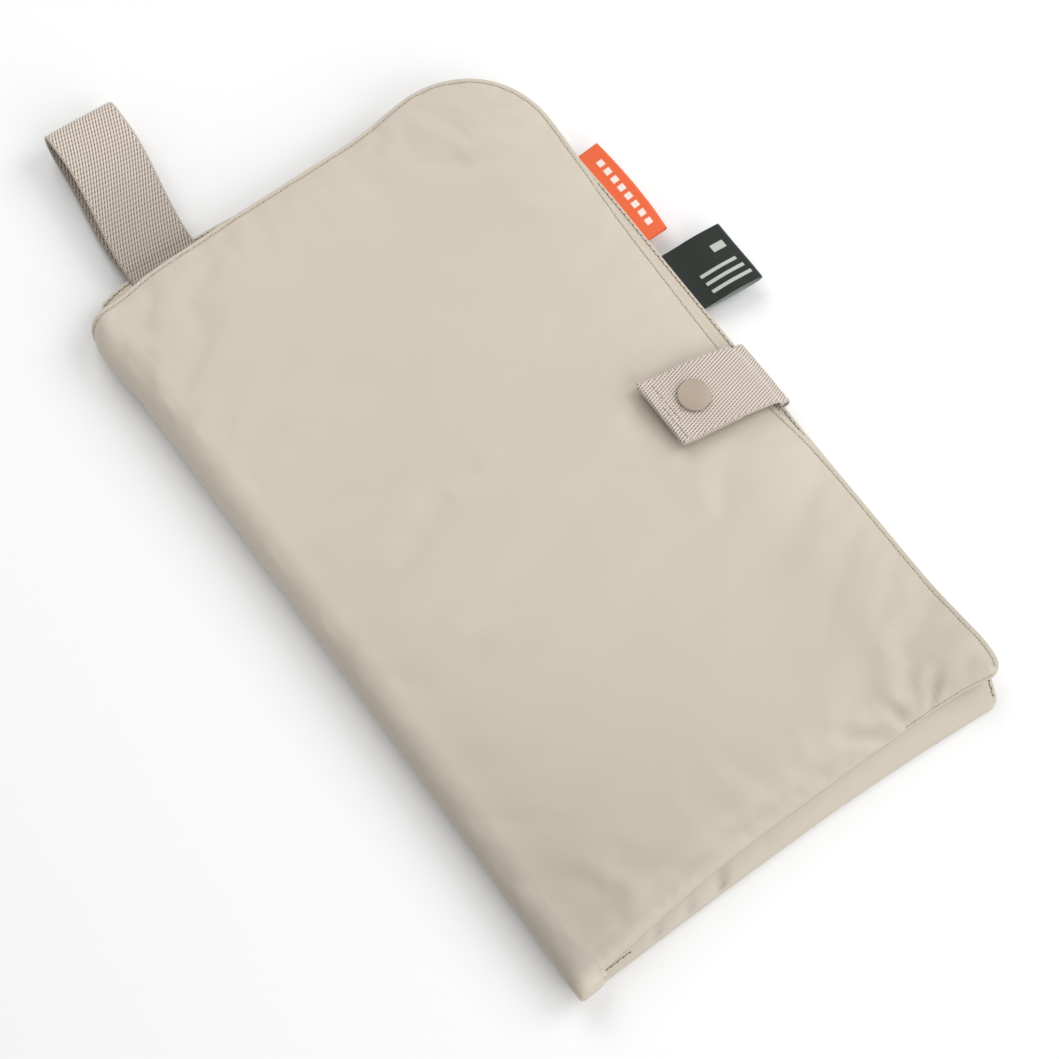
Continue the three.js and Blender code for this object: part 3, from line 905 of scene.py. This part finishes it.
for name, side, panel, nodes in (
    ("upper_top", UPPER, OUTER, ["upper_top_padding"]),
    ("upper_bottom", UPPER, INNER, ["upper_bottom_padding"]),
    ("lower_top", LOWER, INNER, ["lower_top_padding", "spine_inner_padding"]),
    ("lower_bottom", LOWER, OUTER, ["lower_bottom_padding", "spine_outer_padding"]),
):
    join_packet(wadding_object(name + "_wadding", side, panel), side, "wadding", *nodes)

# ---------------------------------------------------------------- topstitching
TUBE_ROWS, TUBE_SIDES = 7, 6
TUBE_ANGLES = np.arange(TUBE_SIDES) * 2 * math.pi / TUBE_SIDES
HOLE_SIDES = 10


def thread_tube(centre, across, up, radius, along):
    """Points and UVs of one thread segment, a tube of TUBE_ROWS rings."""
    cos, sin = np.cos(TUBE_ANGLES)[None, :, None], np.sin(TUBE_ANGLES)[None, :, None]
    body = centre[:, None] + radius[:, None, None] * (cos * across[:, None] + sin * up[:, None])
    uv = np.stack(np.broadcast_arrays(along[:, None], TUBE_ANGLES[None] / 3), -1)
    return body.reshape(-1, 3), uv.reshape(-1, 2)


def tube_quads(count):
    size = TUBE_ROWS * TUBE_SIDES
    tubes = [grid_quads(TUBE_ROWS, TUBE_SIDES, closed=True, base=i * size) for i in range(count)]
    return np.concatenate(tubes)


def normalised(vectors):
    return vectors / np.linalg.norm(vectors, axis=-1, keepdims=True)


def resample(line, pitch):
    at = np.concatenate([[0], np.cumsum(np.hypot(*np.diff(line, axis=0).T))])
    count = max(2, int(round(at[-1] / pitch)))
    t = np.linspace(0, at[-1], count + 1)
    return np.stack([np.interp(t, at, line[:, 0]), np.interp(t, at, line[:, 1])], -1)


def edge_line(side, inset=STITCH_IN):
    """Line in sheet coordinates: up the open side, round the corner, along the loop end."""
    width = SHEET_W[side]
    corner_s, corner_y = width - CORNER_R, LENGTH - CORNER_R
    # in the corner square the larger of the two offsets stays constant
    reach = 1 - inset / CORNER_R
    turn = np.linspace(0, reach, 60) * CORNER_R
    runs = [
        (width - inset, np.linspace(3.0, corner_y, 200)),
        (corner_s + reach * CORNER_R, corner_y + turn),
        (corner_s + turn[::-1], corner_y + reach * CORNER_R),
        (np.linspace(corner_s, 0, 200), LENGTH - inset),
    ]
    return np.concatenate([np.stack(np.broadcast_arrays(s, y), -1) for s, y in runs])


def crease_line(inset, s_from, s_to):
    s = np.linspace(s_from, s_to, 260)
    return np.stack([s, np.full_like(s, inset)], -1)


def surface_frames(side, panel, line):
    """Points, outward normals and tangents of the cover along a line of sheet coordinates."""
    s, y = line[:, 0], line[:, 1]
    step = 0.12
    at = lambda ds, dy: layer(side, panel, "cover", s + ds, y + dy)
    points = at(0, 0)
    normal = np.cross(at(step, 0) - at(-step, 0), at(0, step) - at(0, -step))
    if (side == UPPER) != (panel == OUTER):
        normal = -normal
    return points, normalised(normal), normalised(np.gradient(points, axis=0))


def stitch_row(side, panel, line, radius=0.2, gap=0.30, hole=(0.44, 0.30)):
    """One row of lockstitch: thread segments with a needle hole between each two."""
    frames = surface_frames(side, panel, resample(line, 0.35))
    at = np.concatenate([[0], np.cumsum(np.linalg.norm(np.diff(frames[0], axis=0), axis=1))])
    count = int(at[-1] // STITCH_PITCH)
    start = (at[-1] - count * STITCH_PITCH) / 2

    def frame_at(t):
        return [np.stack([np.interp(t, at, f[:, k]) for k in range(3)], -1) for f in frames]

    verts, uvs, cap_tris = [], [], []
    u = np.linspace(-1, 1, TUBE_ROWS)
    height = 0.16 * (1 - u**2) - 0.16 * u**4 + radius * 0.55
    taper = radius * np.sqrt(unit(1 - (np.abs(u) * 0.94) ** 6))
    for i in range(count):
        begin = start + i * STITCH_PITCH + gap
        t = np.linspace(begin, start + (i + 1) * STITCH_PITCH - gap, TUBE_ROWS)
        point, normal, tangent = frame_at(t)
        normal = normalised(normal)
        across = normalised(np.cross(normal, tangent))
        sway = 0.03 * math.sin(i * 12.9898)  # uneven from stitch to stitch
        centre = point + normal * height[:, None] + across * sway
        body, uv = thread_tube(centre, across * 1.15, normal, taper, t - begin)
        verts.append(body)
        uvs.append(uv)
        for row, flip in ((0, False), (TUBE_ROWS - 1, True)):
            first = (i * TUBE_ROWS + row) * TUBE_SIDES
            for j in range(1, TUBE_SIDES - 1):
                tri = [first, first + j, first + j + 1]
                cap_tris.append(tri[::-1] if flip else tri)

    # each needle hole is a small dished oval in a dark colour: painted shade standing in for the
    # hole
    hole_verts, hole_tris = [], []
    angles = np.arange(HOLE_SIDES)[:, None] * 2 * math.pi / HOLE_SIDES
    for i in range(count + 1):
        point, normal, tangent = (f[0] for f in frame_at(np.array([start + i * STITCH_PITCH])))
        across = np.cross(normal, tangent)
        oval = hole[0] * np.cos(angles) * tangent + hole[1] * np.sin(angles) * across
        rim = point + normal * 0.035 + oval
        lip = point + normal * 0.075 + 0.7 * oval
        hole_verts.append(np.concatenate([rim, lip, [point + normal * 0.05]]))
        base = i * (2 * HOLE_SIDES + 1)
        lip_base, middle = base + HOLE_SIDES, base + 2 * HOLE_SIDES
        for j in range(HOLE_SIDES):
            after = (j + 1) % HOLE_SIDES
            hole_tris += [
                [base + j, base + after, lip_base + j],
                [base + after, lip_base + after, lip_base + j],
                [lip_base + j, lip_base + after, middle],
            ]
    return (
        np.concatenate(verts),
        tube_quads(count),
        np.array(cap_tris),
        np.concatenate(uvs),
        np.concatenate(hole_verts),
        np.array(hole_tris),
    )


def stitch_object(name, side, node, rows):
    """One object of several rows, each (panel, line, options of stitch_row)."""
    all_verts, all_quads, all_caps, all_uvs, all_holes = [], [], [], [], []
    base = 0
    for panel, line, options in rows:
        verts, quads, caps, uv, hole_verts, holes = stitch_row(side, panel, line, **options)
        all_verts += [verts, hole_verts]
        all_uvs += [uv, np.zeros((len(hole_verts), 2))]
        all_quads.append(quads + base)
        all_caps.append(caps + base)
        all_holes.append(holes + base + len(verts))
        base += len(verts) + len(hole_verts)
    quads, holes = np.concatenate(all_quads), np.concatenate(all_holes)
    tris = np.concatenate(all_caps + [holes])
    verts, uv = np.concatenate(all_verts), np.concatenate(all_uvs)
    ob = mesh_object(name, verts, quads, uv, [THREAD, HOLE_SHADE], tris=tris)
    index = np.zeros(len(quads) + len(tris), np.int32)
    index[-len(holes) :] = 1
    set_material_index(ob, index)
    join_packet(ob, side, "thread", node)


PLAIN_ROW = {}
BIG_HOLES = {"hole": (0.52, 0.36), "radius": 0.22}
SMALL_HOLES = {"hole": (0.36, 0.25)}
FINE_THREAD = {"hole": (0.15, 0.10), "radius": 0.13, "gap": 0.2}
upper_w, lower_w = SHEET_W[UPPER], SHEET_W[LOWER]
stitch_object(
    "upper_edge_threads",
    UPPER,
    "upper_edge_stitching",
    [(OUTER, edge_line(UPPER), SMALL_HOLES), (INNER, edge_line(UPPER), PLAIN_ROW)],
)
stitch_object(
    "lower_edge_threads",
    LOWER,
    "lower_edge_stitching",
    [(INNER, edge_line(LOWER, 1.35), BIG_HOLES), (OUTER, edge_line(LOWER), PLAIN_ROW)],
)
stitch_object(
    "upper_crease_threads",
    UPPER,
    "upper_crease_stitching",
    [
        (OUTER, crease_line(0.8, upper_w - CORNER_R, upper_w - 3), FINE_THREAD),
        (INNER, crease_line(1.7, 30, upper_w - 3), FINE_THREAD),
    ],
)
stitch_object(
    "lower_crease_threads",
    LOWER,
    "lower_crease_stitching",
    [
        (INNER, crease_line(3.0, 15, 31), BIG_HOLES),
        (OUTER, crease_line(1.9, 30, lower_w - 4), PLAIN_ROW),
    ],
)

# ---------------------------------------------------------------- webbing
root_lo, root_hi = box_mm("strap_root_webbing")
end_lo, end_hi = box_mm("strap_end_webbing")
WEB_T = root_hi[0] - root_lo[0]
WEB_HALF_W = (root_hi[1] - root_lo[1]) / 2
WEB_RELIEF = 0.46  # depth of the weave

# tilt of the floats in degrees, length of a row, depth between rows, pitch of the floats
STRAP_WEAVE = {"tilt": -21.0, "row": 1.25, "deep": 0.72, "pitch": 1.05}
LOOP_WEAVE = {"tilt": 22.0, "row": 1.75, "deep": 0.75, "pitch": 1.16}


def weave_height(along, across, tilt, row, deep, pitch):
    """Height of the twill, 0 to 1: slanting floats in rows across the web."""
    angle = math.radians(tilt)
    floats = (across * math.cos(angle) - along * math.sin(angle)) / pitch
    rib = np.cos(math.pi * (floats - np.round(floats))) ** 1.5
    rows = (along + 0.10 * across) / row
    dash = unit(np.sin(math.pi * (rows - np.floor(rows))) * 1.5)
    twill = (1 - (1 - rib) * (1 - deep * (1 - dash))) * (0.9 + 0.1 * dash)
    to_edge = WEB_HALF_W - np.abs(across)
    selvedge = rise((1.25 - to_edge) / 0.45)
    plain = 0.55 + 0.35 * np.sin(2 * math.pi * along / 1.1) * unit(to_edge / 0.6)
    return twill * (1 - selvedge) + plain * selvedge


def web_object(name, frame_at, length, step, weave, weave_start):
    """A closed shell along a path, with the weave on both faces.

    frame_at gives centre points, normals and painted shade for arrays of along and across.
    """
    across = np.linspace(-WEB_HALF_W, WEB_HALF_W, int(2 * WEB_HALF_W / step) + 1)
    along = np.linspace(0, length, int(length / step) + 1)
    along, across = np.meshgrid(along, across, indexing="ij")
    centre, normal, painted_shade = frame_at(along, across)
    edge = round_over((WEB_HALF_W - np.abs(across)) / (WEB_T / 2))
    core = WEB_T / 2 - WEB_RELIEF
    height_top = weave_height(along + weave_start, across, **weave)
    height_bottom = weave_height(along + weave_start + 0.9, -across, **weave)
    top = centre + normal * (edge * (core + WEB_RELIEF * height_top))[..., None]
    bottom = centre - normal * (edge * (core + WEB_RELIEF * height_bottom))[..., None]

    def ring(upper, lower):
        return np.concatenate([upper, lower[:, ::-1][:, 1:-1]], 1)

    shell = ring(top, bottom)
    rows, cols = shell.shape[:2]
    end_quads, end_tris = [], []
    for row, flip in ((0, False), (rows - 1, True)):
        first = row * cols
        for j in range(across.shape[1] - 1):
            face = [first + j, first + j + 1, first + cols - j - 1, first + (cols - j) % cols]
            face = list(dict.fromkeys(face))  # at the selvedges two corners coincide
            face = face[::-1] if flip else face
            (end_tris if len(face) == 3 else end_quads).append(face)
    quads = np.concatenate([grid_quads(rows, cols, closed=True), end_quads])
    uv = np.stack([ring(along, along) / 100, ring(across, across) / 100], -1).reshape(-1, 2)
    attributes = {"rib": ring(height_top, height_bottom), "painted_shade": ring(painted_shade, painted_shade)}
    verts = shell.reshape(-1, 3)
    return mesh_object(name, verts, quads, uv, [WEBBING], tris=end_tris, attributes=attributes)


def arc(centre_x, centre_y, radius, start, end, count):
    return [
        (centre_x + radius * math.cos(a), centre_y + radius * math.sin(a))
        for a in np.linspace(start, end, count)
    ]


class Path:
    """A polyline in two coordinates with its corners smoothed, looked up by arc length."""

    def __init__(self, points, samples):
        points = np.array(points, float)
        at = self.arc_length(points)
        t = np.linspace(0, at[-1], samples)
        line = np.stack([np.interp(t, at, points[:, k]) for k in range(2)], -1)
        kernel = np.hanning(15)
        kernel /= kernel.sum()
        line = np.concatenate([np.repeat(line[:1], 7, 0), line, np.repeat(line[-1:], 7, 0)])
        self.line = np.stack([np.convolve(line[:, k], kernel, "valid") for k in range(2)], -1)
        self.at = self.arc_length(self.line)
        self.length = float(self.at[-1])
        tangent = normalised(np.gradient(self.line, axis=0))
        self.left = np.stack([-tangent[:, 1], tangent[:, 0]], -1)

    @staticmethod
    def arc_length(line):
        return np.concatenate([[0], np.cumsum(np.hypot(*np.diff(line, axis=0).T))])

    def look_up(self, along):
        """Both coordinates, then both parts of the left normal."""
        columns = (*self.line.T, *self.left.T)
        return [np.interp(along, self.at, column) for column in columns]


# ---------------------------------------------------------------- strap
STRAP_Y = (root_hi[1] + root_lo[1]) / 2
ROOT_X = (root_lo[0] + root_hi[0]) / 2
STRAP_END_X = end_lo[0]
SLANT = ((end_hi[1] - end_lo[1]) - 2 * WEB_HALF_W) / (end_hi[0] - end_lo[0])
SEAM_Z = root_lo[2] - 0.2
END_Z = end_hi[2] - WEB_T / 2 - 1.2  # a little lower than its CAD solid
EDGE_Z = END_Z - 3.6  # where the strap comes over the edge
BEND_OUT_X = ROOT_X - 5.3  # outermost point of the bend
BEND_R = 6.0
BEND_TILT = 0.26
BEND_Z = EDGE_Z - BEND_R * math.cos(BEND_TILT)
FOLD_R = 0.75  # of the doubled end
RISE_X = SNAP_X - 7.5  # the doubled end stands up from here on


def strap_path():
    """In x and z: out of the seam, up, over the bend, along the top and back under itself."""
    bend_x = BEND_OUT_X - BEND_R
    points = [(ROOT_X - 6.5, SEAM_Z - 0.5), (ROOT_X - 3.0, SEAM_Z - 0.3)]
    points += arc(ROOT_X - 1.6, SEAM_Z + 1.6, 1.9, -math.pi / 2, 0, 10)
    points += [(ROOT_X - 0.6, SEAM_Z + 4.4), (BEND_OUT_X + 0.3, BEND_Z - 1.2)]
    points += arc(bend_x, BEND_Z, BEND_R, 0, math.pi / 2 - BEND_TILT, 24)
    slope_from, slope_to = bend_x + BEND_R * math.sin(BEND_TILT), SNAP_X + 5
    for k in np.linspace(0.94, 0, 22):
        height = END_Z - (END_Z - EDGE_Z) * k**1.6
        points.append((slope_to + k * (slope_from - slope_to), height))
    fold_x = STRAP_END_X + FOLD_R + WEB_T / 2
    points.append((fold_x + 1, END_Z))
    points += arc(fold_x, END_Z - FOLD_R, FOLD_R, math.pi / 2, 3 * math.pi / 2, 14)
    points.append((STRAP_END_X + 26, END_Z - 2 * FOLD_R - 0.05))
    return Path(points, 1400)


STRAP = strap_path()
STRAP_SPLIT = float(STRAP.at[int(np.argmax(STRAP.line[:, 1] > SEAM_Z + 4.6))])  # root to end


def strap_cup(across):
    return 0.35 * np.cos(across / WEB_HALF_W * math.pi / 2) - 0.15


def end_lift(x):
    return 1.3 * rise((RISE_X - x) / (RISE_X - STRAP_END_X))


def strap_frame(along, across):
    x, z, left_x, left_z = STRAP.look_up(along)
    lean = np.clip(BEND_OUT_X - x, 0, 400) * SLANT * rise((z - SEAM_Z - 3) / 10)
    cupped_z = z + strap_cup(across) * rise((z - EDGE_Z + 3) / 4)
    # the high-y edge is drawn in round the bend
    drawn = unit(across / WEB_HALF_W) ** 3 * rise((z - SEAM_Z - 2) / 6)
    x = x - 2.4 * drawn * rise((x - BEND_OUT_X + 24) / 24)
    centre = np.stack([x, STRAP_Y + across + lean, cupped_z + end_lift(x)], -1)
    normal = np.stack([-left_x, np.zeros_like(along), -left_z], -1)
    # an even painted shade over the whole strap, carried in the painted_shade attribute
    return centre, normal, np.full_like(along, 0.03)


def strap_end_frame(along, across):
    return strap_frame(along + STRAP_SPLIT, across)


strap_root = web_object("strap_root_web", strap_frame, STRAP_SPLIT, 0.25, STRAP_WEAVE, 0.0)
end_length = STRAP.length - STRAP_SPLIT
strap_end = web_object(
    "strap_end_web", strap_end_frame, end_length, 0.25, STRAP_WEAVE, STRAP_SPLIT
)
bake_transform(strap_root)
register(strap_root, "webbing", "strap_root_webbing")
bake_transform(strap_end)
register(strap_end, "webbing", "strap_end_webbing")

# rows of thread across the doubled end: in from the end, insets from the low-y and high-y edges
END_ROWS = [(5.6, 9, 1.6), (3.2, 1.6, 12), (8.4, 12, 14)]


def strap_threads():
    tubes = []
    u = np.linspace(-1, 1, TUBE_ROWS)
    radius = 0.26 * np.sqrt(unit(1 - (np.abs(u) * 0.95) ** 6))
    sink = 0.18 - 0.42 * u**4  # the ends go down into the web
    across, up = np.array([[1.0, 0, 0]]), np.array([[0, 0, 1.0]])
    for inset, low_inset, high_inset in END_ROWS:
        x = STRAP_END_X + inset
        lean = (BEND_OUT_X - x) * SLANT
        for y in np.arange(-WEB_HALF_W + low_inset, WEB_HALF_W - high_inset - 2.0, 2.6):
            t = np.linspace(y + 0.15, y + 2.3, TUBE_ROWS)
            z = END_Z + WEB_T / 2 - 0.02 + sink + end_lift(x) + strap_cup(t)
            centre = np.stack([x - 0.02 * t, STRAP_Y + lean + t, z], -1)
            tubes.append(thread_tube(centre, across, up, radius, t - y))
    verts, uv = (np.concatenate(part) for part in zip(*tubes))
    return mesh_object("strap_end_threads", verts, tube_quads(len(tubes)), uv, [THREAD])


end_threads = strap_threads()
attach(end_threads, "strap_end")
register(end_threads, "thread", "strap_end_stitching")

# ---------------------------------------------------------------- hanging loop
loop_lo, loop_hi = box_mm("hanging_loop_webbing")
LOOP_Y = loop_lo[1]
LOOP_X, LOOP_Z = 40.0, 7.5  # where it leaves the seam
LOOP_SLOPE = 0.045
LOOP_BULGE, LOOP_MOUTH = 7.0, 1.5  # half heights at the far end and at the seam


def loop_path():
    """In y and z: out along the upper run, round the end and back along the lower run."""
    count = 40
    reach = (loop_hi[1] - LOOP_Y) - LOOP_BULGE
    radius = LOOP_BULGE - WEB_T / 2

    def point(out, height):
        return (LOOP_Y + out, LOOP_Z + LOOP_SLOPE * out + height)

    def run(sign, steps):
        for i in steps:
            bulge = math.sin(math.pi / 2 * (i / count) ** 0.75)
            height = LOOP_MOUTH + (LOOP_BULGE - LOOP_MOUTH) * bulge - WEB_T / 2
            yield point(i / count * reach, sign * height)

    points = [(LOOP_Y - 7, LOOP_Z + 0.55), (LOOP_Y - 2, LOOP_Z + 0.65)]
    points += run(1, range(count + 1))
    for a in np.linspace(math.pi / 2, -math.pi / 2, 24)[1:-1]:
        points.append(point(reach + radius * math.cos(a), radius * math.sin(a)))
    points += run(-1, range(count, -1, -1))
    points += [(LOOP_Y - 2, LOOP_Z - 0.65), (LOOP_Y - 7, LOOP_Z - 0.55)]
    return Path(points, 1600)


LOOP = loop_path()


def loop_frame(along, across):
    y, z, left_y, left_z = LOOP.look_up(along)
    out = y - LOOP_Y
    height = z - LOOP_Z - LOOP_SLOPE * out  # over the middle of the loop
    x = LOOP_X + 6.3 * rise(out / 52) + across
    x = x - 2.6 * rise((3.0 - height) / 6.0) * np.sin(math.pi * unit(out / 66)) ** 0.8
    y = y + (1.6 - 0.06 * across) * rise(out / 60)
    z = z + 0.25 * np.cos(across / WEB_HALF_W * math.pi / 2) * np.sign(height)
    under = rise((1.0 - height) / 5.0)
    # painted shade: the loop is darker towards the seam and on its lower run, which lies under
    # the upper one
    painted_shade = 0.16 * fall((out - 2) / 56) * (1 - under) + 0.13 * under
    normal = np.stack([np.zeros_like(along), left_y, left_z], -1)
    return np.stack([x, y, z], -1), normal, painted_shade


loop = web_object("hanging_loop_web", loop_frame, LOOP.length, 0.28, LOOP_WEAVE, 3.0)
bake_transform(loop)
register(loop, "webbing", "hanging_loop_webbing")


# ---------------------------------------------------------------- side labels
LABEL_TAIL = 3.2  # sewn into the seam
LABEL_MOUTH = 0.32  # half height where the label leaves the seam
LABEL_HALF_T = 0.16


def label_object(name, node, materials, tip_drop, slant=0.0, parting=0.0, belly=0.0):
    """A folded ribbon: out of the edge, round its tip and back.

    slant is y per x; parting is how far the lower leaf hangs at its low-y side; belly is how
    far the tip bulges out at mid width.
    """
    lo, hi = box_mm(node)
    x_from, length = lo[0], hi[0] - lo[0]
    z_mid, bulge = (lo[2] + hi[2]) / 2, (hi[2] - lo[2]) / 2
    width = (hi[1] - lo[1]) - abs(slant) * length
    u = np.linspace(0, 1, 46)
    run_x = x_from + u * (length - bulge)
    height = LABEL_MOUTH + (bulge - LABEL_MOUTH) * np.sin(np.pi / 2 * u)
    points = [(x_from - LABEL_TAIL, z_mid + 0.25), *zip(run_x, z_mid + height)]
    tip_x = x_from + length - bulge
    points += arc(tip_x, z_mid, bulge, math.pi / 2, -math.pi / 2, 16)[1:-1]
    points += [*zip(run_x[::-1], z_mid - height[::-1]), (x_from - LABEL_TAIL, z_mid - 0.25)]
    path = Path(points, 500)
    cols = 70
    along, across = np.meshgrid(
        np.linspace(0, path.at[-1], 260), np.linspace(0, 1, cols), indexing="ij"
    )
    x, z, left_x, left_z = path.look_up(along)
    reach = unit((x - x_from) / length)
    y = hi[1] - width + across * width + slant * (x - x_from)
    heading = np.concatenate([[1], np.sign(np.diff(path.line[:, 0]))])
    lower_leaf = np.interp(along, path.at, heading) <= 0
    x = x + belly * reach * (1 - (2 * across - 1) ** 2)
    z = z + tip_drop * reach**1.5 * (1 - across) ** 2 + 0.25 * np.sin(across * 5 + 1) * reach
    z = z - parting * lower_leaf * np.sin(reach * math.pi) ** 0.8 * (1 - across) ** 2.5
    z = z - 1.75 * fall((x - 202.0) / 16)
    centre = np.stack([x, y, z], -1)
    normal = np.stack([left_x, np.zeros_like(x), left_z], -1)
    weave = np.sin(across * width / 0.5 * 2 * math.pi) * np.sin(along / 0.6 * 2 * math.pi)
    off = normal * (LABEL_HALF_T + 0.03 * weave)[..., None]

    def ring(upper, lower):
        return np.concatenate([upper, lower[:, ::-1]], 1)

    shell = ring(centre + off, centre - off)
    rows, ring_cols = shell.shape[:2]
    uv = np.stack(
        [(ring(along, along) - LABEL_TAIL) / 100, ring(across, across) * width / 100], -1
    )
    quads = grid_quads(rows, ring_cols, closed=True, flip=True)
    ob = mesh_object(name, shell.reshape(-1, 3), quads, uv.reshape(-1, 2), materials)
    if len(materials) > 1:  # the second one is inside the fold
        index = np.zeros((rows - 1, ring_cols), np.int32)
        index[:, cols : 2 * cols - 1] = 1
        set_material_index(ob, index.ravel())
    return ob


BAR_PITCH, BAR_WIDTH = 4.5, 3.0
ORANGE = ribbon_material(
    "orange_label",
    base=srgb(229, 101, 54),
    dark=srgb(222, 84, 38),
    mark_colour=srgb(240, 230, 222),
    marks=[
        (3.2, 6.0, 5.0 + BAR_PITCH * i, 5.0 + BAR_PITCH * i + BAR_WIDTH, 0.25) for i in range(8)
    ],
)
GREEN = ribbon_material(
    "green_label",
    base=srgb(24, 33, 27),
    dark=srgb(14, 20, 17),
    mark_colour=srgb(188, 196, 186),
    marks=[
        (6.0, 24.0, 3.4, 5.1, 0.25),
        (6.0, 23.2, 7.2, 8.9, 0.25),
        (6.0, 22.4, 11.0, 12.7, 0.25),
        (16.6, 22.6, 17.8, 21.4, 0.3),
    ],
)
GREEN_BACK = ribbon_material(
    "green_label_back", base=srgb(150, 160, 152), dark=srgb(120, 130, 122)
)

for colour, materials, shape in (
    ("orange", [ORANGE], {"tip_drop": -1.2, "belly": 1.1}),
    ("green", [GREEN, GREEN_BACK], {"tip_drop": -0.8, "slant": -0.11, "parting": 2.2}),
):
    node = colour + "_label"
    label = label_object(colour + "_side_ribbon", node, materials, **shape)
    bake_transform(label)
    register(label, node, node)

# ---------------------------------------------------------------- snap fastener
CAP_RIM_R = 0.62
CAP_SIDES = 96


def cap_profile(radius, bottom, top):
    """Radius and z of a moulded cap: flat underside, rounded rim, shallow dome."""
    points = [(0.15, bottom), (1.2, bottom), (radius - 1.2, bottom + 0.02)]
    rim = radius - CAP_RIM_R
    points += arc(rim, bottom + CAP_RIM_R, CAP_RIM_R, -math.pi / 2, math.pi / 2, 14)
    dome_z = bottom + 2 * CAP_RIM_R
    for t in np.linspace(0.04, 1, 22):
        points.append((rim * (1 - t) + 0.15 * t, dome_z + (top - dome_z) * (1 - (1 - t) ** 2.2)))
    return np.array(points)


def snap_cap():
    web_top = END_Z + WEB_T / 2
    profile = cap_profile(SNAP_R, web_top + 0.25, web_top + 1.95)
    angles = np.arange(CAP_SIDES) * 2 * math.pi / CAP_SIDES
    radius, z = profile[:, :1], np.repeat(profile[:, 1:], CAP_SIDES, 1)
    x, y = SNAP_X + radius * np.cos(angles), SNAP_Y + radius * np.sin(angles)
    poles = [[SNAP_X, SNAP_Y, profile[0, 1]], [SNAP_X, SNAP_Y, profile[-1, 1]]]
    verts = np.concatenate([np.stack([x, y, z], -1).reshape(-1, 3), poles])
    rows = len(profile)
    pole, last_ring = rows * CAP_SIDES, (rows - 1) * CAP_SIDES
    tris = []
    for j in range(CAP_SIDES):
        after = (j + 1) % CAP_SIDES
        tris += [[pole, after, j], [pole + 1, last_ring + j, last_ring + after]]
    quads = grid_quads(rows, CAP_SIDES, closed=True)
    return mesh_object("snap_cap_disc", verts, quads, verts[:, :2] / 100, [PLASTIC], tris=tris)


cap = snap_cap()
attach(cap, "strap_end")
register(cap, "snap_plastic", "snap_cap")

# the other snap parts keep their CAD solids
for name in ("snap_socket", "snap_stud", "stud_backing_cap"):
    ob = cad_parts[name]
    ob.data.materials.clear()
    ob.data.materials.append(PLASTIC)
    bevel = ob.modifiers.new("bevel", "BEVEL")
    bevel.width = 0.00012
    bevel.segments = 2
    bevel.limit_method = "ANGLE"
    for polygon in ob.data.polygons:
        polygon.use_smooth = False


# ---------------------------------------------------------------- stage, light, camera (metres)
def add_floor(half=6.0, height=-0.0002):
    mesh = bpy.data.meshes.new("floor")
    corners = [(-half, -half, 0), (half, -half, 0), (half, half, 0), (-half, half, 0)]
    mesh.from_pydata(corners, [], [(0, 1, 2, 3)])
    ob = bpy.data.objects.new("floor", mesh)
    ob.location.z = height
    bpy.context.scene.collection.objects.link(ob)
    m = Shader("floor_white")
    m.set(Base_Color=(0.86, 0.86, 0.86, 1), Roughness=0.95, Specular_IOR_Level=0.0)
    mesh.materials.append(m.material)


def add_light(name, location, size, power):
    """A square area light aimed at the world origin."""
    data = bpy.data.lights.new(name, "AREA")
    data.shape = "RECTANGLE"
    data.size = size
    data.size_y = size
    data.energy = power
    light = bpy.data.objects.new(name, data)
    light.location = location
    light.rotation_mode = "QUATERNION"
    light.rotation_quaternion = (-Vector(location)).to_track_quat("-Z", "Y")
    bpy.context.scene.collection.objects.link(light)


def add_camera():
    data = bpy.data.cameras.new("camera")
    camera = bpy.data.objects.new("camera", data)
    bpy.context.scene.collection.objects.link(camera)
    bpy.context.scene.camera = camera
    data.sensor_width = 36.0
    data.sensor_fit = "HORIZONTAL"
    data.lens = 65.4017
    data.clip_start = 0.01
    data.clip_end = 50
    right = (0.79966427, -0.5993635, 0.03606185)
    up = (0.56250186, 0.76878846, 0.30423011)
    backward = (-0.21006835, -0.22299709, 0.95191575)
    pose = Matrix((right, up, backward)).transposed().to_4x4()
    pose.translation = Vector((ORIGIN_X - 0.06242, ORIGIN_Y - 0.01310, 0.69893))
    camera.matrix_world = pose


add_floor()

scene = bpy.context.scene
scene.view_settings.view_transform = "Standard"
scene.view_settings.look = "None"
scene.view_settings.exposure = 0.0
studio = bpy.data.worlds.new("studio")
scene.world = studio
studio.use_nodes = True
background = studio.node_tree.nodes["Background"]
background.inputs["Color"].default_value = WHITE
background.inputs["Strength"].default_value = 0.44

add_light("key", location=(1.15, -0.25, 1.10), size=0.9, power=10.6)
add_light("top", location=(0.10, 1.20, 1.25), size=1.1, power=12.4)
add_light("front", location=(0.30, -1.25, 0.9), size=1.3, power=11.3)
add_camera()

bpy.context.view_layer.update()
